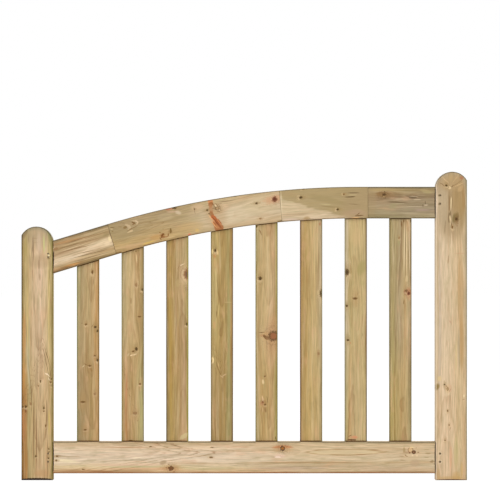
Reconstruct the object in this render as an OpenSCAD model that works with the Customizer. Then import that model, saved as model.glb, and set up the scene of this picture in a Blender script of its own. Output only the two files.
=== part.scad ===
// Garden gate leaf with a swept top rail: two stiles, a level bottom rail, a top rail in four pieces and a row of
// pales. The rails are tenoned into the stiles and pinned, the pales are housed in the rails.
// X runs across the leaf from the low stile to the tall one, the front faces -Y, and Z is up.
// The origin is on the ground, at the middle of the leaf's width and thickness.

/* [Leaf] */
// Width over both stiles
gate_w = 1300; // [1000:10:1800]
// Height of the tall stile
tall_h = 900; // [850:10:1200]
// Height of the low stile
low_h = 740; // [600:10:840]
// Thickness of stiles and rails
frame_t = 45; // [36:1:60]
// Radius that eases the long edges of stiles and rails
arris_r = 3; // [1:0.5:5]

/* [Stiles] */
// Face width of a stile
stile_w = 92; // [80:1:105]
// How far the round head is centred from the middle of the stile, towards its outer edge
head_shift = 3; // [0:0.5:5]

/* [Rails] */
// Face width of a rail
rail_w = 92; // [84:1:105]
// Height of the bottom rail's lower edge above the ground
foot_h = 20; // [10:1:60]
// How far the tall stile stands above the top rail
tall_reveal = 44; // [35:1:70]
// How far the low stile stands above the top rail
low_reveal = 41; // [32:1:70]
// Run of the top rail's straight slope along X, from the low stile to where the sweep starts
slope_run = 159; // [80:1:260]
// Run of the top rail's level stretch, from the end of the sweep to the tall stile
level_run = 221; // [120:1:320]
// How much of that level stretch belongs to the crest piece
level_lap = 24; // [10:1:60]
// Run of the crest piece's curve along X, from the end of the sweep back to its joint
crest_run = 235; // [150:5:330]

/* [Pales] */
// Number of pales
pale_count = 8; // [5:1:10]
// Face width of a pale
pale_w = 65; // [50:1:75]
// Space between a stile and the pale next to it
end_space = 69; // [40:0.5:90]
// Thickness of a pale
pale_t = 20; // [14:1:24]
// Radius that eases the long edges of a pale
pale_arris_r = 2; // [0.5:0.5:3]
// How deep a pale goes into each rail
house_depth = 20; // [12:1:26]

/* [Tenons] */
// Length of a tenon
tenon_l = 50; // [38:1:60]
// Height of a tenon
tenon_h = 65; // [56:1:70]
// Thickness of a tenon
tenon_t = 15; // [12:1:20]

/* [Pins] */
// Diameter of a joint pin
pin_d = 5; // [3:0.5:6]
// Length of a joint pin
pin_l = 37; // [32:1:40]
// How deep a pin's head is sunk in the face of the stile
pin_sunk = 1; // [0.5:0.5:3]
// Distance from the stile's inner edge to a pair of pins
pin_inset = 14; // [10:1:25]
// Distance between the two pins of a joint
pin_pitch = 24; // [16:1:30]
// Distance between the two pins where the sloping end of the top rail is tenoned
slope_pin_pitch = 10; // [8:1:24]
// How far the pins at the top rail's level end sit above the middle of its tenon
pin_rise = 9; // [0:1:10]
// How far the pins at its sloping end sit above the middle of that tenon
slope_pin_rise = 5; // [0:1:10]

/* [Dowels] */
// Diameter of a dowel in the top rail's joints
dowel_d = 12; // [8:1:14]
// Length of a dowel
dowel_l = 80; // [60:2:90]
// Distance between the two dowels of a joint
dowel_pitch = 34; // [28:1:40]
// How far the dowels sit above the middle of the rail, clear of the pale housings
dowel_rise = 8; // [5:1:12]

/* [Fits] */
// Clearance around each side of a tenon in its mortise
tenon_gap = 0.2; // [0.1:0.05:0.5]
// Clearance around each side of a pale in its housing
house_gap = 0.2; // [0.1:0.05:0.5]
// Radial clearance around a pin
pin_gap = 0.05; // [0.02:0.01:0.1]
// Radial clearance around a dowel
dowel_gap = 0.1; // [0.05:0.01:0.2]
// Glue space past the end of a tenon, dowel, pin or pale
end_gap = 0.8; // [0.5:0.1:2]

/* [Hidden] */
stile_color = [0.62, 0.50, 0.33];
rail_color = [0.66, 0.54, 0.38];
pale_color = [0.57, 0.46, 0.30];
pin_color = [0.32, 0.29, 0.24];
dowel_color = [0.74, 0.62, 0.42];

// Insides of the frame, across the leaf
low_face_x = -gate_w / 2 + stile_w;
tall_face_x = gate_w / 2 - stile_w;

// Upper edges of the bottom rail and of the top rail's level and low ends
bottom_rail_z = foot_h + rail_w;
level_z = tall_h - tall_reveal;
slope_z = low_h - low_reveal;

// The sweep is a circle that touches the line of the slope and the line of the level. Its angle a fits
// drop = slope_run * tan(a) + sweep_run * tan(a / 2), which each step of sweep_angle comes closer to.
drop = level_z - slope_z;
sweep_end_x = tall_face_x - level_run;
sweep_run = sweep_end_x - low_face_x - slope_run;
function sweep_angle(steps, a = 0) =
    steps == 0 ? a : sweep_angle(steps - 1, atan(drop / (slope_run + sweep_run * (1 - pow(tan(a / 2), 2)) / 2)));
slope_a = sweep_angle(20);
sweep_r = sweep_run / sin(slope_a);
sweep_centre_z = level_z - sweep_r;
crest_a = asin(crest_run / sweep_r);
level_joint_x = sweep_end_x + level_lap;

// Middles of the tenons
bottom_tenon_z = bottom_rail_z - rail_w / 2;
tall_tenon_z = level_z - rail_w / 2;
low_tenon_z = slope_z - rail_w / cos(slope_a) / 2;

dowel_depth = rail_w / 2 - dowel_rise;
pale_foot_z = bottom_rail_z - house_depth;
pale_pitch = (tall_face_x - low_face_x - 2 * end_space - pale_w) / (pale_count - 1);

sweep_fn = 720;
head_fn = 180;
round_fn = 64;
// Cutting shapes run this far past what they cut
over = 1;

PALES = [for (i = [1:pale_count]) str("pale_", i)];

function pale_x(i) = (i - (pale_count + 1) / 2) * pale_pitch;

// Section of a timber, centred, with eased corners
module eased_section(w, t, r) {
    square([w - 2 * r, t], center = true);
    square([w, t - 2 * r], center = true);
    for (x = [-1, 1], y = [-1, 1])
        translate([x * (w / 2 - r), y * (t / 2 - r)])
            circle(r, $fn = round_fn);
}

// Stands a drawing in X and Z up as a slab of the given thickness, centred on the leaf
module slab(t) {
    rotate([90, 0, 0])
        linear_extrude(t, center = true)
            children();
}

// Straight piece of rail, with its upper edge along X at Z = 0
module straight_rail(length) {
    translate([0, 0, -rail_w / 2])
        rotate([90, 0, 90])
            linear_extrude(length)
                rotate(90)
                    eased_section(rail_w, frame_t, arris_r);
}

// Puts things at the middle of the sweep's circle, turned back from its level end by the angle a
module on_sweep(a) {
    translate([sweep_end_x, 0, sweep_centre_z])
        rotate([0, -a, 0])
            children();
}

// Piece of rail sawn to the sweep, between two angles turned back from its level end
module curved_rail(from_a, to_a) {
    on_sweep(from_a)
        rotate([90, 0, 0])
            rotate(90)
                rotate_extrude(angle = to_a - from_a, $fn = sweep_fn)
                    translate([sweep_r - rail_w / 2, 0])
                        eased_section(rail_w, frame_t, arris_r);
}

// What lies below a line drawn at the given depth under the top rail's upper edge
module below_top_rail(depth) {
    r = sweep_r - depth;
    translate([sweep_end_x, sweep_centre_z]) {
        square([gate_w, r]);
        rotate(slope_a)
            translate([-gate_w, 0])
                square([gate_w, r]);
        circle(r, $fn = sweep_fn);
    }
}

// Tenon whose shoulder is at x, pointing to the side given by dir
module tenon(x, z, dir, gap = 0, past = 0) {
    length = tenon_l + past;
    translate([x + dir * length / 2, 0, z])
        cube([length, tenon_t + 2 * gap, tenon_h + 2 * gap], center = true);
}

// Hole for that tenon, open at the stile's inner edge
module mortise(x, z, dir) {
    tenon(x, z, dir, tenon_gap, end_gap);
    translate([x - dir * over / 2, 0, z])
        cube([2 * over, tenon_t + 2 * tenon_gap, tenon_h + 2 * tenon_gap], center = true);
}

// Pair of pins, driven from the front
module pin_pair(x, z, pitch) {
    for (side = [-1, 1])
        translate([x, -frame_t / 2 + pin_sunk, z + side * pitch / 2])
            rotate([-90, 0, 0])
                cylinder(d = pin_d, h = pin_l, $fn = round_fn);
}

// Holes for that pair, open at the face
module pin_holes(x, z, pitch) {
    for (side = [-1, 1])
        translate([x, -frame_t / 2 - over, z + side * pitch / 2])
            rotate([-90, 0, 0])
                cylinder(r = pin_d / 2 + pin_gap, h = over + pin_sunk + pin_l + end_gap, $fn = round_fn);
}

// Pair of dowels along X through X = 0, under an upper edge at Z = 0
module dowel_pair(gap = 0, past = 0) {
    for (side = [-1, 1])
        translate([0, 0, -dowel_depth + side * dowel_pitch / 2])
            rotate([0, 90, 0])
                cylinder(r = dowel_d / 2 + gap, h = dowel_l + 2 * past, center = true, $fn = round_fn);
}

// That pair in a joint on the sweep
module sweep_dowels(a, gap = 0, past = 0) {
    on_sweep(a)
        translate([0, 0, sweep_r])
            dowel_pair(gap, past);
}

// Stile with its outer edge at x = 0 and its inner edge at x = stile_w
module stile_blank(height) {
    head_r = stile_w / 2 + head_shift;
    intersection() {
        translate([stile_w / 2, 0, 0])
            linear_extrude(height)
                eased_section(stile_w, frame_t, arris_r);
        slab(frame_t + 2 * over) {
            square([stile_w, height - head_r]);
            intersection() {
                translate([stile_w - head_r, height - head_r])
                    circle(head_r, $fn = head_fn);
                square([stile_w, height]);
            }
        }
    }
}

// Pale before its top is cut, or with a gap the straight-sided space that it goes into
module pale_blank(i, gap = 0) {
    translate([pale_x(i), 0, pale_foot_z])
        linear_extrude(level_z)
            if (gap > 0)
                square([pale_w + 2 * gap, pale_t + 2 * gap], center = true);
            else
                eased_section(pale_w, pale_t, pale_arris_r);
}

// Space cut in the top rail for the pales
module pale_top_housings() {
    intersection() {
        slab(frame_t)
            below_top_rail(rail_w - house_depth - end_gap);
        for (i = [1:pale_count])
            pale_blank(i, house_gap);
    }
}

module low_stile() {
    color(stile_color)
        difference() {
            translate([-gate_w / 2, 0, 0])
                stile_blank(low_h);
            mortise(low_face_x, bottom_tenon_z, -1);
            mortise(low_face_x, low_tenon_z, -1);
            pin_holes(low_face_x - pin_inset, bottom_tenon_z, pin_pitch);
            pin_holes(low_face_x - pin_inset, low_tenon_z + slope_pin_rise, slope_pin_pitch);
        }
}

module tall_stile() {
    color(stile_color)
        difference() {
            translate([gate_w / 2, 0, 0])
                mirror([1, 0, 0])
                    stile_blank(tall_h);
            mortise(tall_face_x, bottom_tenon_z, 1);
            mortise(tall_face_x, tall_tenon_z, 1);
            pin_holes(tall_face_x + pin_inset, bottom_tenon_z, pin_pitch);
            pin_holes(tall_face_x + pin_inset, tall_tenon_z + pin_rise, pin_pitch);
        }
}

module bottom_rail() {
    color(rail_color)
        difference() {
            union() {
                translate([low_face_x, 0, bottom_rail_z])
                    straight_rail(tall_face_x - low_face_x);
                tenon(low_face_x, bottom_tenon_z, -1);
                tenon(tall_face_x, bottom_tenon_z, 1);
            }
            for (i = [1:pale_count])
                pale_blank(i, house_gap);
            pin_holes(low_face_x - pin_inset, bottom_tenon_z, pin_pitch);
            pin_holes(tall_face_x + pin_inset, bottom_tenon_z, pin_pitch);
        }
}

// Straight piece on the slope, cut upright at the stile and square at the sweep
module top_rail_low() {
    length = slope_run / cos(slope_a) + rail_w * tan(slope_a) + over;
    color(rail_color)
        difference() {
            union() {
                difference() {
                    on_sweep(slope_a)
                        translate([-length, 0, sweep_r])
                            straight_rail(length);
                    translate([low_face_x - gate_w, -frame_t, 0])
                        cube([gate_w, 2 * frame_t, level_z]);
                }
                tenon(low_face_x, low_tenon_z, -1);
            }
            pale_top_housings();
            sweep_dowels(slope_a, dowel_gap, end_gap);
            pin_holes(low_face_x - pin_inset, low_tenon_z + slope_pin_rise, slope_pin_pitch);
        }
}

// Long piece sawn to the sweep
module top_rail_sweep() {
    color(rail_color)
        difference() {
            curved_rail(crest_a, slope_a);
            pale_top_housings();
            for (a = [crest_a, slope_a])
                sweep_dowels(a, dowel_gap, end_gap);
        }
}

// Piece sawn to the rest of the sweep, with a short level stretch at its upper end
module top_rail_crest() {
    color(rail_color)
        difference() {
            union() {
                curved_rail(0, crest_a);
                translate([sweep_end_x, 0, level_z])
                    straight_rail(level_lap);
            }
            pale_top_housings();
            sweep_dowels(crest_a, dowel_gap, end_gap);
            translate([level_joint_x, 0, level_z])
                dowel_pair(dowel_gap, end_gap);
        }
}

module top_rail_tall() {
    color(rail_color)
        difference() {
            union() {
                translate([level_joint_x, 0, level_z])
                    straight_rail(tall_face_x - level_joint_x);
                tenon(tall_face_x, tall_tenon_z, 1);
            }
            pale_top_housings();
            translate([level_joint_x, 0, level_z])
                dowel_pair(dowel_gap, end_gap);
            pin_holes(tall_face_x + pin_inset, tall_tenon_z + pin_rise, pin_pitch);
        }
}

module pale(i) {
    color(pale_color)
        intersection() {
            pale_blank(i);
            slab(frame_t)
                below_top_rail(rail_w - house_depth);
        }
}

module low_bottom_pins() {
    color(pin_color)
        pin_pair(low_face_x - pin_inset, bottom_tenon_z, pin_pitch);
}

module low_top_pins() {
    color(pin_color)
        pin_pair(low_face_x - pin_inset, low_tenon_z + slope_pin_rise, slope_pin_pitch);
}

module tall_bottom_pins() {
    color(pin_color)
        pin_pair(tall_face_x + pin_inset, bottom_tenon_z, pin_pitch);
}

module tall_top_pins() {
    color(pin_color)
        pin_pair(tall_face_x + pin_inset, tall_tenon_z + pin_rise, pin_pitch);
}

module slope_joint_dowels() {
    color(dowel_color)
        sweep_dowels(slope_a);
}

module crest_joint_dowels() {
    color(dowel_color)
        sweep_dowels(crest_a);
}

module level_joint_dowels() {
    color(dowel_color)
        translate([level_joint_x, 0, level_z])
            dowel_pair();
}

low_stile();
tall_stile();
bottom_rail();
top_rail_low();
top_rail_sweep();
top_rail_crest();
top_rail_tall();
low_bottom_pins();
low_top_pins();
tall_bottom_pins();
tall_top_pins();
slope_joint_dowels();
crest_joint_dowels();
level_joint_dowels();
for (i = [1:pale_count])
    pale(i);
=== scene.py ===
# %% [markdown]
# # A garden gate leaf in treated pine
#
# The gate is a frame of two upright stiles and two rails, with eight pales let into the rails. The lower
# rail is level. The upper one sweeps down from the tall stile to the low one, and is made of four timbers
# butted end to end. The solids come first, packed from the part's own source, and stay as they are. This
# notebook builds the timbers again with softer edges, pockets and pin holes, and gives every one of them
# its own piece of wood.

import math
from functools import cached_property
from types import SimpleNamespace

import bmesh
import bpy
from mathutils import Matrix, Vector, noise


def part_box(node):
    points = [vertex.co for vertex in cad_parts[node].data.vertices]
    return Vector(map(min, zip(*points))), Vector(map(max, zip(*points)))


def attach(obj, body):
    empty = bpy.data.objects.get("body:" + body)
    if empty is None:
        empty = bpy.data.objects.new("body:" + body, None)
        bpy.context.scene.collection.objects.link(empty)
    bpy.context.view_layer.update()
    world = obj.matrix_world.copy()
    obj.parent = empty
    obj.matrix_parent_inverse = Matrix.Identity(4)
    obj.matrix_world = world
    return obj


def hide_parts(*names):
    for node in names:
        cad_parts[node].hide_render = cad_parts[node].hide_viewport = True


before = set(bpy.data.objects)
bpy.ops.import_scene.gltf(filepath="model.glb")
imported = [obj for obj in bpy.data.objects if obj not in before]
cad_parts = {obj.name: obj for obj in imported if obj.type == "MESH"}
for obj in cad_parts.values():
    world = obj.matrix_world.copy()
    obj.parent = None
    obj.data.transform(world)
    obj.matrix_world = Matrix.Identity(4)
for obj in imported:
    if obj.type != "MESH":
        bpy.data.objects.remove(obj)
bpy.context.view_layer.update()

# %% [markdown]
# ## Where things are
#
# Every place is read from the boxes of the solids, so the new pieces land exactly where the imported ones
# lie. Only the sweep of the upper rail can't be read from a box. It is a circle that touches the level line
# at one end and the slope at the other, so three numbers give it: where it ends, its radius and the angle
# that it turns through.

# %% Faces of the frame, and the line of the upper rail
low_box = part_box("low_stile")
tall_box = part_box("tall_stile")
foot_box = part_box("bottom_rail")
pale_boxes = [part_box(f"pale_{number}") for number in range(1, 9)]
face_y = low_box[0].y
back_y = low_box[1].y
low_face = low_box[1].x
tall_face = tall_box[0].x
stile_w = low_box[1].x - low_box[0].x
rail_w = foot_box[1].z - foot_box[0].z
level_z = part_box("top_rail_tall")[1].z
level_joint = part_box("top_rail_tall")[0].x

sweep_end = 0.337
sweep_radius = 2.54165
sweep_angle = math.radians(16.8325)
crest_length = 0.235
crest_angle = math.asin(crest_length / sweep_radius)
sweep_centre = Vector((sweep_end, 0, level_z - sweep_radius))
X, Y, Z = Matrix.Identity(3)


def upper_rail_z(x, depth):
    """Height of the line that runs at a depth under the upper rail's top edge."""
    radius = sweep_radius - depth
    back = sweep_end - x
    if back <= 0:
        return level_z - depth
    if back <= radius * math.sin(sweep_angle):
        return sweep_centre.z + math.sqrt(radius * radius - back * back)
    return sweep_centre.z + (radius - back * math.sin(sweep_angle)) / math.cos(sweep_angle)


def on_sweep(angle, depth):
    """Point on the sweep, at an angle back from its level end and a depth under the top edge."""
    radius = sweep_radius - depth
    return sweep_centre + radius * Vector((-math.sin(angle), 0, math.cos(angle)))


print("stile", round(stile_w, 4), "rail", round(rail_w, 4), "level", round(level_z, 4))
print("top edge at the low stile", round(upper_rail_z(low_face, 0), 4))

# %% [markdown]
# ## Tools for timber
#
# A joiner starts from a planed blank, then eases its edges, cuts the mortises and housings, and bores for
# the pins. The same steps work on a mesh. A pocket is made by slicing the mesh along the pocket's four
# sides, which leaves its mouth as faces of their own, and pushing those faces in. Pushed out instead, they
# are a tenon.

# %% Helpers: blank, slice, ease, push, bore
arris = 0.003


def verts_of(made):
    """The new vertices among what an extrusion made."""
    return [v for v in made["geom"] if isinstance(v, bmesh.types.BMVert)]


def edges_of(made, key="geom"):
    """The new edges among what an extrusion or a cut made."""
    return [e for e in made[key] if isinstance(e, bmesh.types.BMEdge)]


def block(low, high):
    """A square blank between two corners."""
    bm = bmesh.new()
    bmesh.ops.create_cube(bm, size=1.0)
    bmesh.ops.scale(bm, vec=high - low, verts=bm.verts)
    bmesh.ops.translate(bm, vec=(low + high) / 2, verts=bm.verts)
    return bm


def slice_mesh(bm, point, direction, clear=False):
    """Cuts right through the mesh. With clear it drops what lies ahead and closes the cut."""
    everything = bm.verts[:] + bm.edges[:] + bm.faces[:]
    cut = bmesh.ops.bisect_plane(
        bm, geom=everything, dist=1e-6, plane_co=point, plane_no=direction, clear_outer=clear
    )
    if clear:
        bmesh.ops.edgeloop_fill(bm, edges=edges_of(cut, "geom_cut"))


def ease(bm, edges, radius, segments=4):
    """Rounds edges, as a plane or sandpaper does."""
    bmesh.ops.bevel(
        bm, geom=edges, offset=radius, offset_type="OFFSET", affect="EDGES",
        segments=segments, profile=0.5, material=-1, clamp_overlap=False,
    )


def long_edges(bm, ways=()):
    """The edges between a face of the board and its sides, or those of them that run along these ways."""
    bm.normal_update()
    found = []
    for edge in bm.edges:
        turned = [abs(f.normal.y) > 0.9 for f in edge.link_faces]
        run = (edge.verts[0].co - edge.verts[1].co).normalized()
        if len(turned) == 2 and turned[0] != turned[1] and all(abs(run.dot(way)) > 0.9 for way in ways):
            found.append(edge)
    return found


def push_faces(bm, low, high, looking, push):
    """Slices along a box's sides and pushes the faces inside it that look one way."""
    for direction in (X, Y, Z):
        if abs(looking.dot(direction)) < 0.5:
            slice_mesh(bm, low, direction)
            slice_mesh(bm, high, direction)
    bm.normal_update()
    chosen = []
    for face in bm.faces:
        middle = face.calc_center_bounds()
        inside = all(low[k] - 1e-5 <= middle[k] <= high[k] + 1e-5 for k in range(3))
        if inside and face.normal.dot(looking) > 0.5:
            chosen.append(face)
    pushed = bmesh.ops.extrude_face_region(bm, geom=chosen)
    bmesh.ops.translate(bm, vec=push, verts=verts_of(pushed))
    bmesh.ops.delete(bm, geom=[f for f in chosen if f.is_valid], context="FACES")


def bore(bm, mouth, outward, radius, depth):
    """Drills a blind hole: a square round its mouth is filled to a circle, and the circle is pushed in."""
    side = Y.cross(outward)
    if side.length < 0.5:
        side = X
    up = outward.cross(side)
    half = 1.7 * radius
    for way in (side, up):
        slice_mesh(bm, mouth - half * way, way)
        slice_mesh(bm, mouth + half * way, way)
    bm.normal_update()
    square = []
    for face in bm.faces:
        away = face.calc_center_bounds() - mouth
        flat = abs(away.dot(outward)) < 1e-4 and face.normal.dot(outward) > 0.9
        if flat and abs(away.dot(side)) < half and abs(away.dot(up)) < half:
            square.append(face)
    inner = {e for f in square for e in f.edges}
    rim = [e for e in inner if sum(f in square for f in e.link_faces) == 1]
    bmesh.ops.delete(bm, geom=square, context="FACES")
    turn = outward.to_track_quat("Z", "Y").to_matrix().to_4x4()
    ring = bmesh.ops.create_circle(
        bm, cap_ends=False, segments=32, radius=radius, matrix=Matrix.Translation(mouth) @ turn
    )
    circle = list({e for v in ring["verts"] for e in v.link_edges})
    bmesh.ops.triangle_fill(bm, use_beauty=True, use_dissolve=False, edges=rim + circle, normal=outward)
    wall = bmesh.ops.extrude_edge_only(bm, edges=circle)
    floor_edges = edges_of(wall)
    bmesh.ops.translate(bm, vec=-depth * outward, verts=verts_of(wall))
    bmesh.ops.edgeloop_fill(bm, edges=[e for e in floor_edges if e.is_boundary])


# %% [markdown]
# ## Wear, and handing a piece over
#
# A planed board is never quite true. Its faces move a little as it dries and its edges get rubbed, so each
# finished mesh is sliced every few centimetres and its surface sinks by a random amount: a tenth of a
# millimetre or two on the faces and up to half a millimetre on the edges. It only ever sinks, so no piece
# grows out of its own size. The noise is a fixed function of the place, so it comes out the same every
# time.

# %% Helpers: wear a surface, and finish a piece
face_wear = 0.00015
edge_wear = 0.0005
pieces = {}


def wear(bm, seed, step=0.02, along=Z):
    """Slices the piece along its grain and lets its skin sink unevenly."""
    reach = [v.co.dot(along) for v in bm.verts]
    place = math.ceil(min(reach) / step) * step
    while place < max(reach) - 1e-4:
        slice_mesh(bm, along * place, along)
        place += step
    bm.normal_update()
    shift = Vector((seed * 3.7, seed * 1.3, seed * 2.1))
    for vert in bm.verts:
        slow = noise.noise(vert.co * 6 + shift) * 0.5 + 0.5
        quick = noise.noise(vert.co * 45 + shift) * 0.5 + 0.5
        edge = 2 * abs(vert.normal.y) * math.sqrt(max(0.0, 1 - vert.normal.y**2))
        vert.co -= vert.normal * (face_wear * slow + edge_wear * edge * quick)


def finish_piece(bm, name, node, crease=35):
    """Closes the mesh, turns it into an object and hands it to the frame in place of its solid."""
    bmesh.ops.remove_doubles(bm, verts=bm.verts, dist=1e-6)
    bmesh.ops.recalc_face_normals(bm, faces=bm.faces)
    open_edges = sum(not e.is_manifold for e in bm.edges)
    mesh = bpy.data.meshes.new(name)
    bm.to_mesh(mesh)
    bm.free()
    mesh.shade_smooth()
    mesh.set_sharp_from_angle(angle=math.radians(crease))
    piece = bpy.data.objects.new(name, mesh)
    bpy.context.scene.collection.objects.link(piece)
    even = piece.modifiers.new("flat faces stay flat", "WEIGHTED_NORMAL")
    even.keep_sharp = True
    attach(piece, "root")
    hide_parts(node)
    low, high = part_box(node)
    mine = [Vector(c) for c in piece.bound_box]
    off = max((mine[0] - low).length, (mine[6] - high).length)
    print(name, len(mesh.polygons), "faces, open edges", open_edges, "box off by mm", round(off * 1000, 2))
    pieces[node] = piece


# %% [markdown]
# ## The stiles
#
# A stile is a 92 by 45 mm post. Its head is sawn to a round that meets the inner edge smoothly and stops
# against the outer edge with a slight corner. A cylinder and a box joined by a Boolean would give that
# shape too, but a drawing that is cut out and thickened keeps one clean outline, so a single bevel can ease
# the head and both long edges in one run. The mortises and the pin holes follow.

# %% Draw, cut out and bore a stile
head_radius = stile_w / 2 + 0.003
tenon_length = 0.05
tenon_half = Vector((0, 0.0075, 0.0325))
mortise_gap = Vector((0.001, 0.0002, 0.0002))
mortise_depth = tenon_length + 0.0008
mortise_z = {
    "bottom": (foot_box[0].z + foot_box[1].z) / 2,
    "tall": level_z - rail_w / 2,
    "low": upper_rail_z(low_face, 0) - rail_w / math.cos(sweep_angle) / 2,
}
pin_radius = 0.00255
pin_depth = 0.012
pin_inset = 0.014
pin_heights = {"bottom": (-0.012, 0.012), "low": (0.0, 0.01), "tall": (-0.003, 0.021)}


def drop_faces(bm, unwanted):
    """Deletes the faces whose middle answers to a test."""
    doomed = [f for f in bm.faces if unwanted(f.calc_center_median())]
    bmesh.ops.delete(bm, geom=doomed, context="FACES")


def stile(node, inner, side, upper, seed):
    """side is -1 for the low stile and 1 for the tall one; upper names its upper mortise."""
    top = round(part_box(node)[1].z, 3)
    outer = inner + side * stile_w
    centre = Vector((inner + side * head_radius, face_y, top - head_radius))
    bm = bmesh.new()
    stand = Matrix.Translation(centre) @ Matrix.Rotation(math.pi / 2, 4, "X")
    bmesh.ops.create_circle(bm, cap_ends=True, segments=144, radius=head_radius, matrix=stand)
    slice_mesh(bm, outer * X, side * X)
    drop_faces(bm, lambda middle: side * (middle.x - outer) > 0)
    slice_mesh(bm, centre, -Z)
    drop_faces(bm, lambda middle: middle.z < centre.z)
    chord = [e for e in bm.edges if all(abs(v.co.z - centre.z) < 1e-6 for v in e.verts)]
    for vert in verts_of(bmesh.ops.extrude_edge_only(bm, edges=chord)):
        vert.co.z = 0
    slab = bmesh.ops.extrude_face_region(bm, geom=bm.faces[:])
    bmesh.ops.translate(bm, vec=(back_y - face_y) * Y, verts=verts_of(slab))
    bmesh.ops.recalc_face_normals(bm, faces=bm.faces)
    ease(bm, long_edges(bm), arris)
    for mortise in ("bottom", upper):
        middle = Vector((inner, 0, mortise_z[mortise]))
        low, high = middle - tenon_half - mortise_gap, middle + tenon_half + mortise_gap
        push_faces(bm, low, high, -side * X, mortise_depth * side * X)
    for mortise in ("bottom", upper):
        for height in pin_heights[mortise]:
            mouth = Vector((inner + side * pin_inset, face_y, mortise_z[mortise] + height))
            bore(bm, mouth, -Y, pin_radius, pin_depth)
    wear(bm, seed)
    finish_piece(bm, node.replace("_stile", "_side_stile"), node)


stile("low_stile", low_face, -1, "low", 1)
stile("tall_stile", tall_face, 1, "tall", 2)

# %% [markdown]
# ## The pales
#
# A pale is a thin board with lightly rounded edges. Both its ends are out of sight in the rails. The upper
# end is cut along the line of the rail, so the block's two upper corners are lowered to that line before
# the edges are eased.

# %% Cut the eight pales
house_depth = 0.02
pale_arris = 0.002

for number, (low, high) in enumerate(pale_boxes, 1):
    bm = block(low, high)
    for vert in bm.verts:
        if vert.co.z > high.z - 1e-5:
            vert.co.z = min(upper_rail_z(vert.co.x, rail_w - house_depth), high.z)
    ease(bm, long_edges(bm), pale_arris)
    wear(bm, 10 + number)
    finish_piece(bm, f"pale_board_{number}", f"pale_{number}")

# %% [markdown]
# ## The lower rail
#
# The lower rail is a straight timber. Its tenons are the middles of its end faces pushed out, and the
# housings for the pales are rectangles of its upper edge pushed in, a fifth of a millimetre wider than the
# pales all round.

# %% Lower rail, with tenons and housings
house_gap = Vector((0.0002, 0.0002, 0.001))
house_floor = 0.0008


def housing(bm, number, z_low, z_high, looking, depth):
    """Sinks the housing of one pale, from between two heights."""
    low, high = pale_boxes[number - 1]
    corner_low = Vector((low.x, low.y, z_low)) - house_gap
    corner_high = Vector((high.x, high.y, z_high)) + house_gap
    push_faces(bm, corner_low, corner_high, looking, -depth * looking)


def tenon(bm, shoulder, z, side):
    """Pushes a tenon out of an end face. side is -1 to the left and 1 to the right."""
    middle = Vector((shoulder, 0, z))
    reach = tenon_half + 0.001 * X
    push_faces(bm, middle - reach, middle + reach, side * X, tenon_length * side * X)


bm = block(Vector((low_face, face_y, foot_box[0].z)), Vector((tall_face, back_y, foot_box[1].z)))
ease(bm, long_edges(bm, [X]), arris)
tenon(bm, low_face, mortise_z["bottom"], -1)
tenon(bm, tall_face, mortise_z["bottom"], 1)
for number in range(1, 9):
    housing(bm, number, foot_box[1].z, foot_box[1].z, Z, house_depth + house_floor)
wear(bm, 30, along=X)
finish_piece(bm, "lower_rail", "bottom_rail")

# %% [markdown]
# ## The upper rail
#
# The upper rail is four timbers: a straight one on the slope, a long and a short one sawn to the sweep, and
# a straight level one. Spin does for a mesh what the bandsaw does for the real ones: the rail's section is
# swung round the middle of the sweep, so the curve is true and its rings of edges lie square to it. At the
# butt joints the ends are broken by a fraction of a millimetre, which is what draws a fine line across the
# real rail.

# %% Helpers for the upper rail
dowel_radius = 0.0061
dowel_depth = 0.0408
dowel_drops = (rail_w / 2 - 0.025, rail_w / 2 + 0.009)
joint_break = 0.0004


def dowel_holes(bm, top_point, outward):
    """Two holes in an end face, for the dowels that cross a butt joint."""
    down = Vector((-outward.z, 0, outward.x)).normalized()
    if down.z > 0:
        down = -down
    for drop in dowel_drops:
        bore(bm, top_point + down * drop, outward, dowel_radius, dowel_depth)


def break_ends(bm, ends):
    """Breaks the sharp edges round the butted end faces."""
    bm.normal_update()
    rim = []
    for edge in bm.edges:
        for point, way in ends:
            flat = [abs(f.normal.dot(way)) > 0.999 for f in edge.link_faces]
            near = all(abs((v.co - point).dot(way)) < 1e-5 for v in edge.verts)
            if near and len(flat) == 2 and flat[0] != flat[1]:
                rim.append(edge)
    ease(bm, rim, joint_break, segments=2)


def swung_rail(start, angle, steps):
    """Section of the rail at an angle on the sweep, swung back by an angle."""
    bm = bmesh.new()
    across = on_sweep(start, 0)
    inside = on_sweep(start, rail_w)
    corners = [bm.verts.new((p.x, y, p.z)) for p, y in
               ((across, face_y), (across, back_y), (inside, back_y), (inside, face_y))]
    bmesh.ops.contextual_create(bm, geom=corners)
    bmesh.ops.spin(
        bm, geom=bm.verts[:] + bm.edges[:] + bm.faces[:], cent=sweep_centre, axis=-Y,
        angle=angle, steps=steps, use_duplicate=False,
    )
    bmesh.ops.recalc_face_normals(bm, faces=bm.faces)
    bm.normal_update()
    return bm


def tangent(angle):
    """Direction of the rail, towards the tall stile, at an angle on the sweep."""
    return Vector((math.cos(angle), 0, math.sin(angle)))


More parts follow.
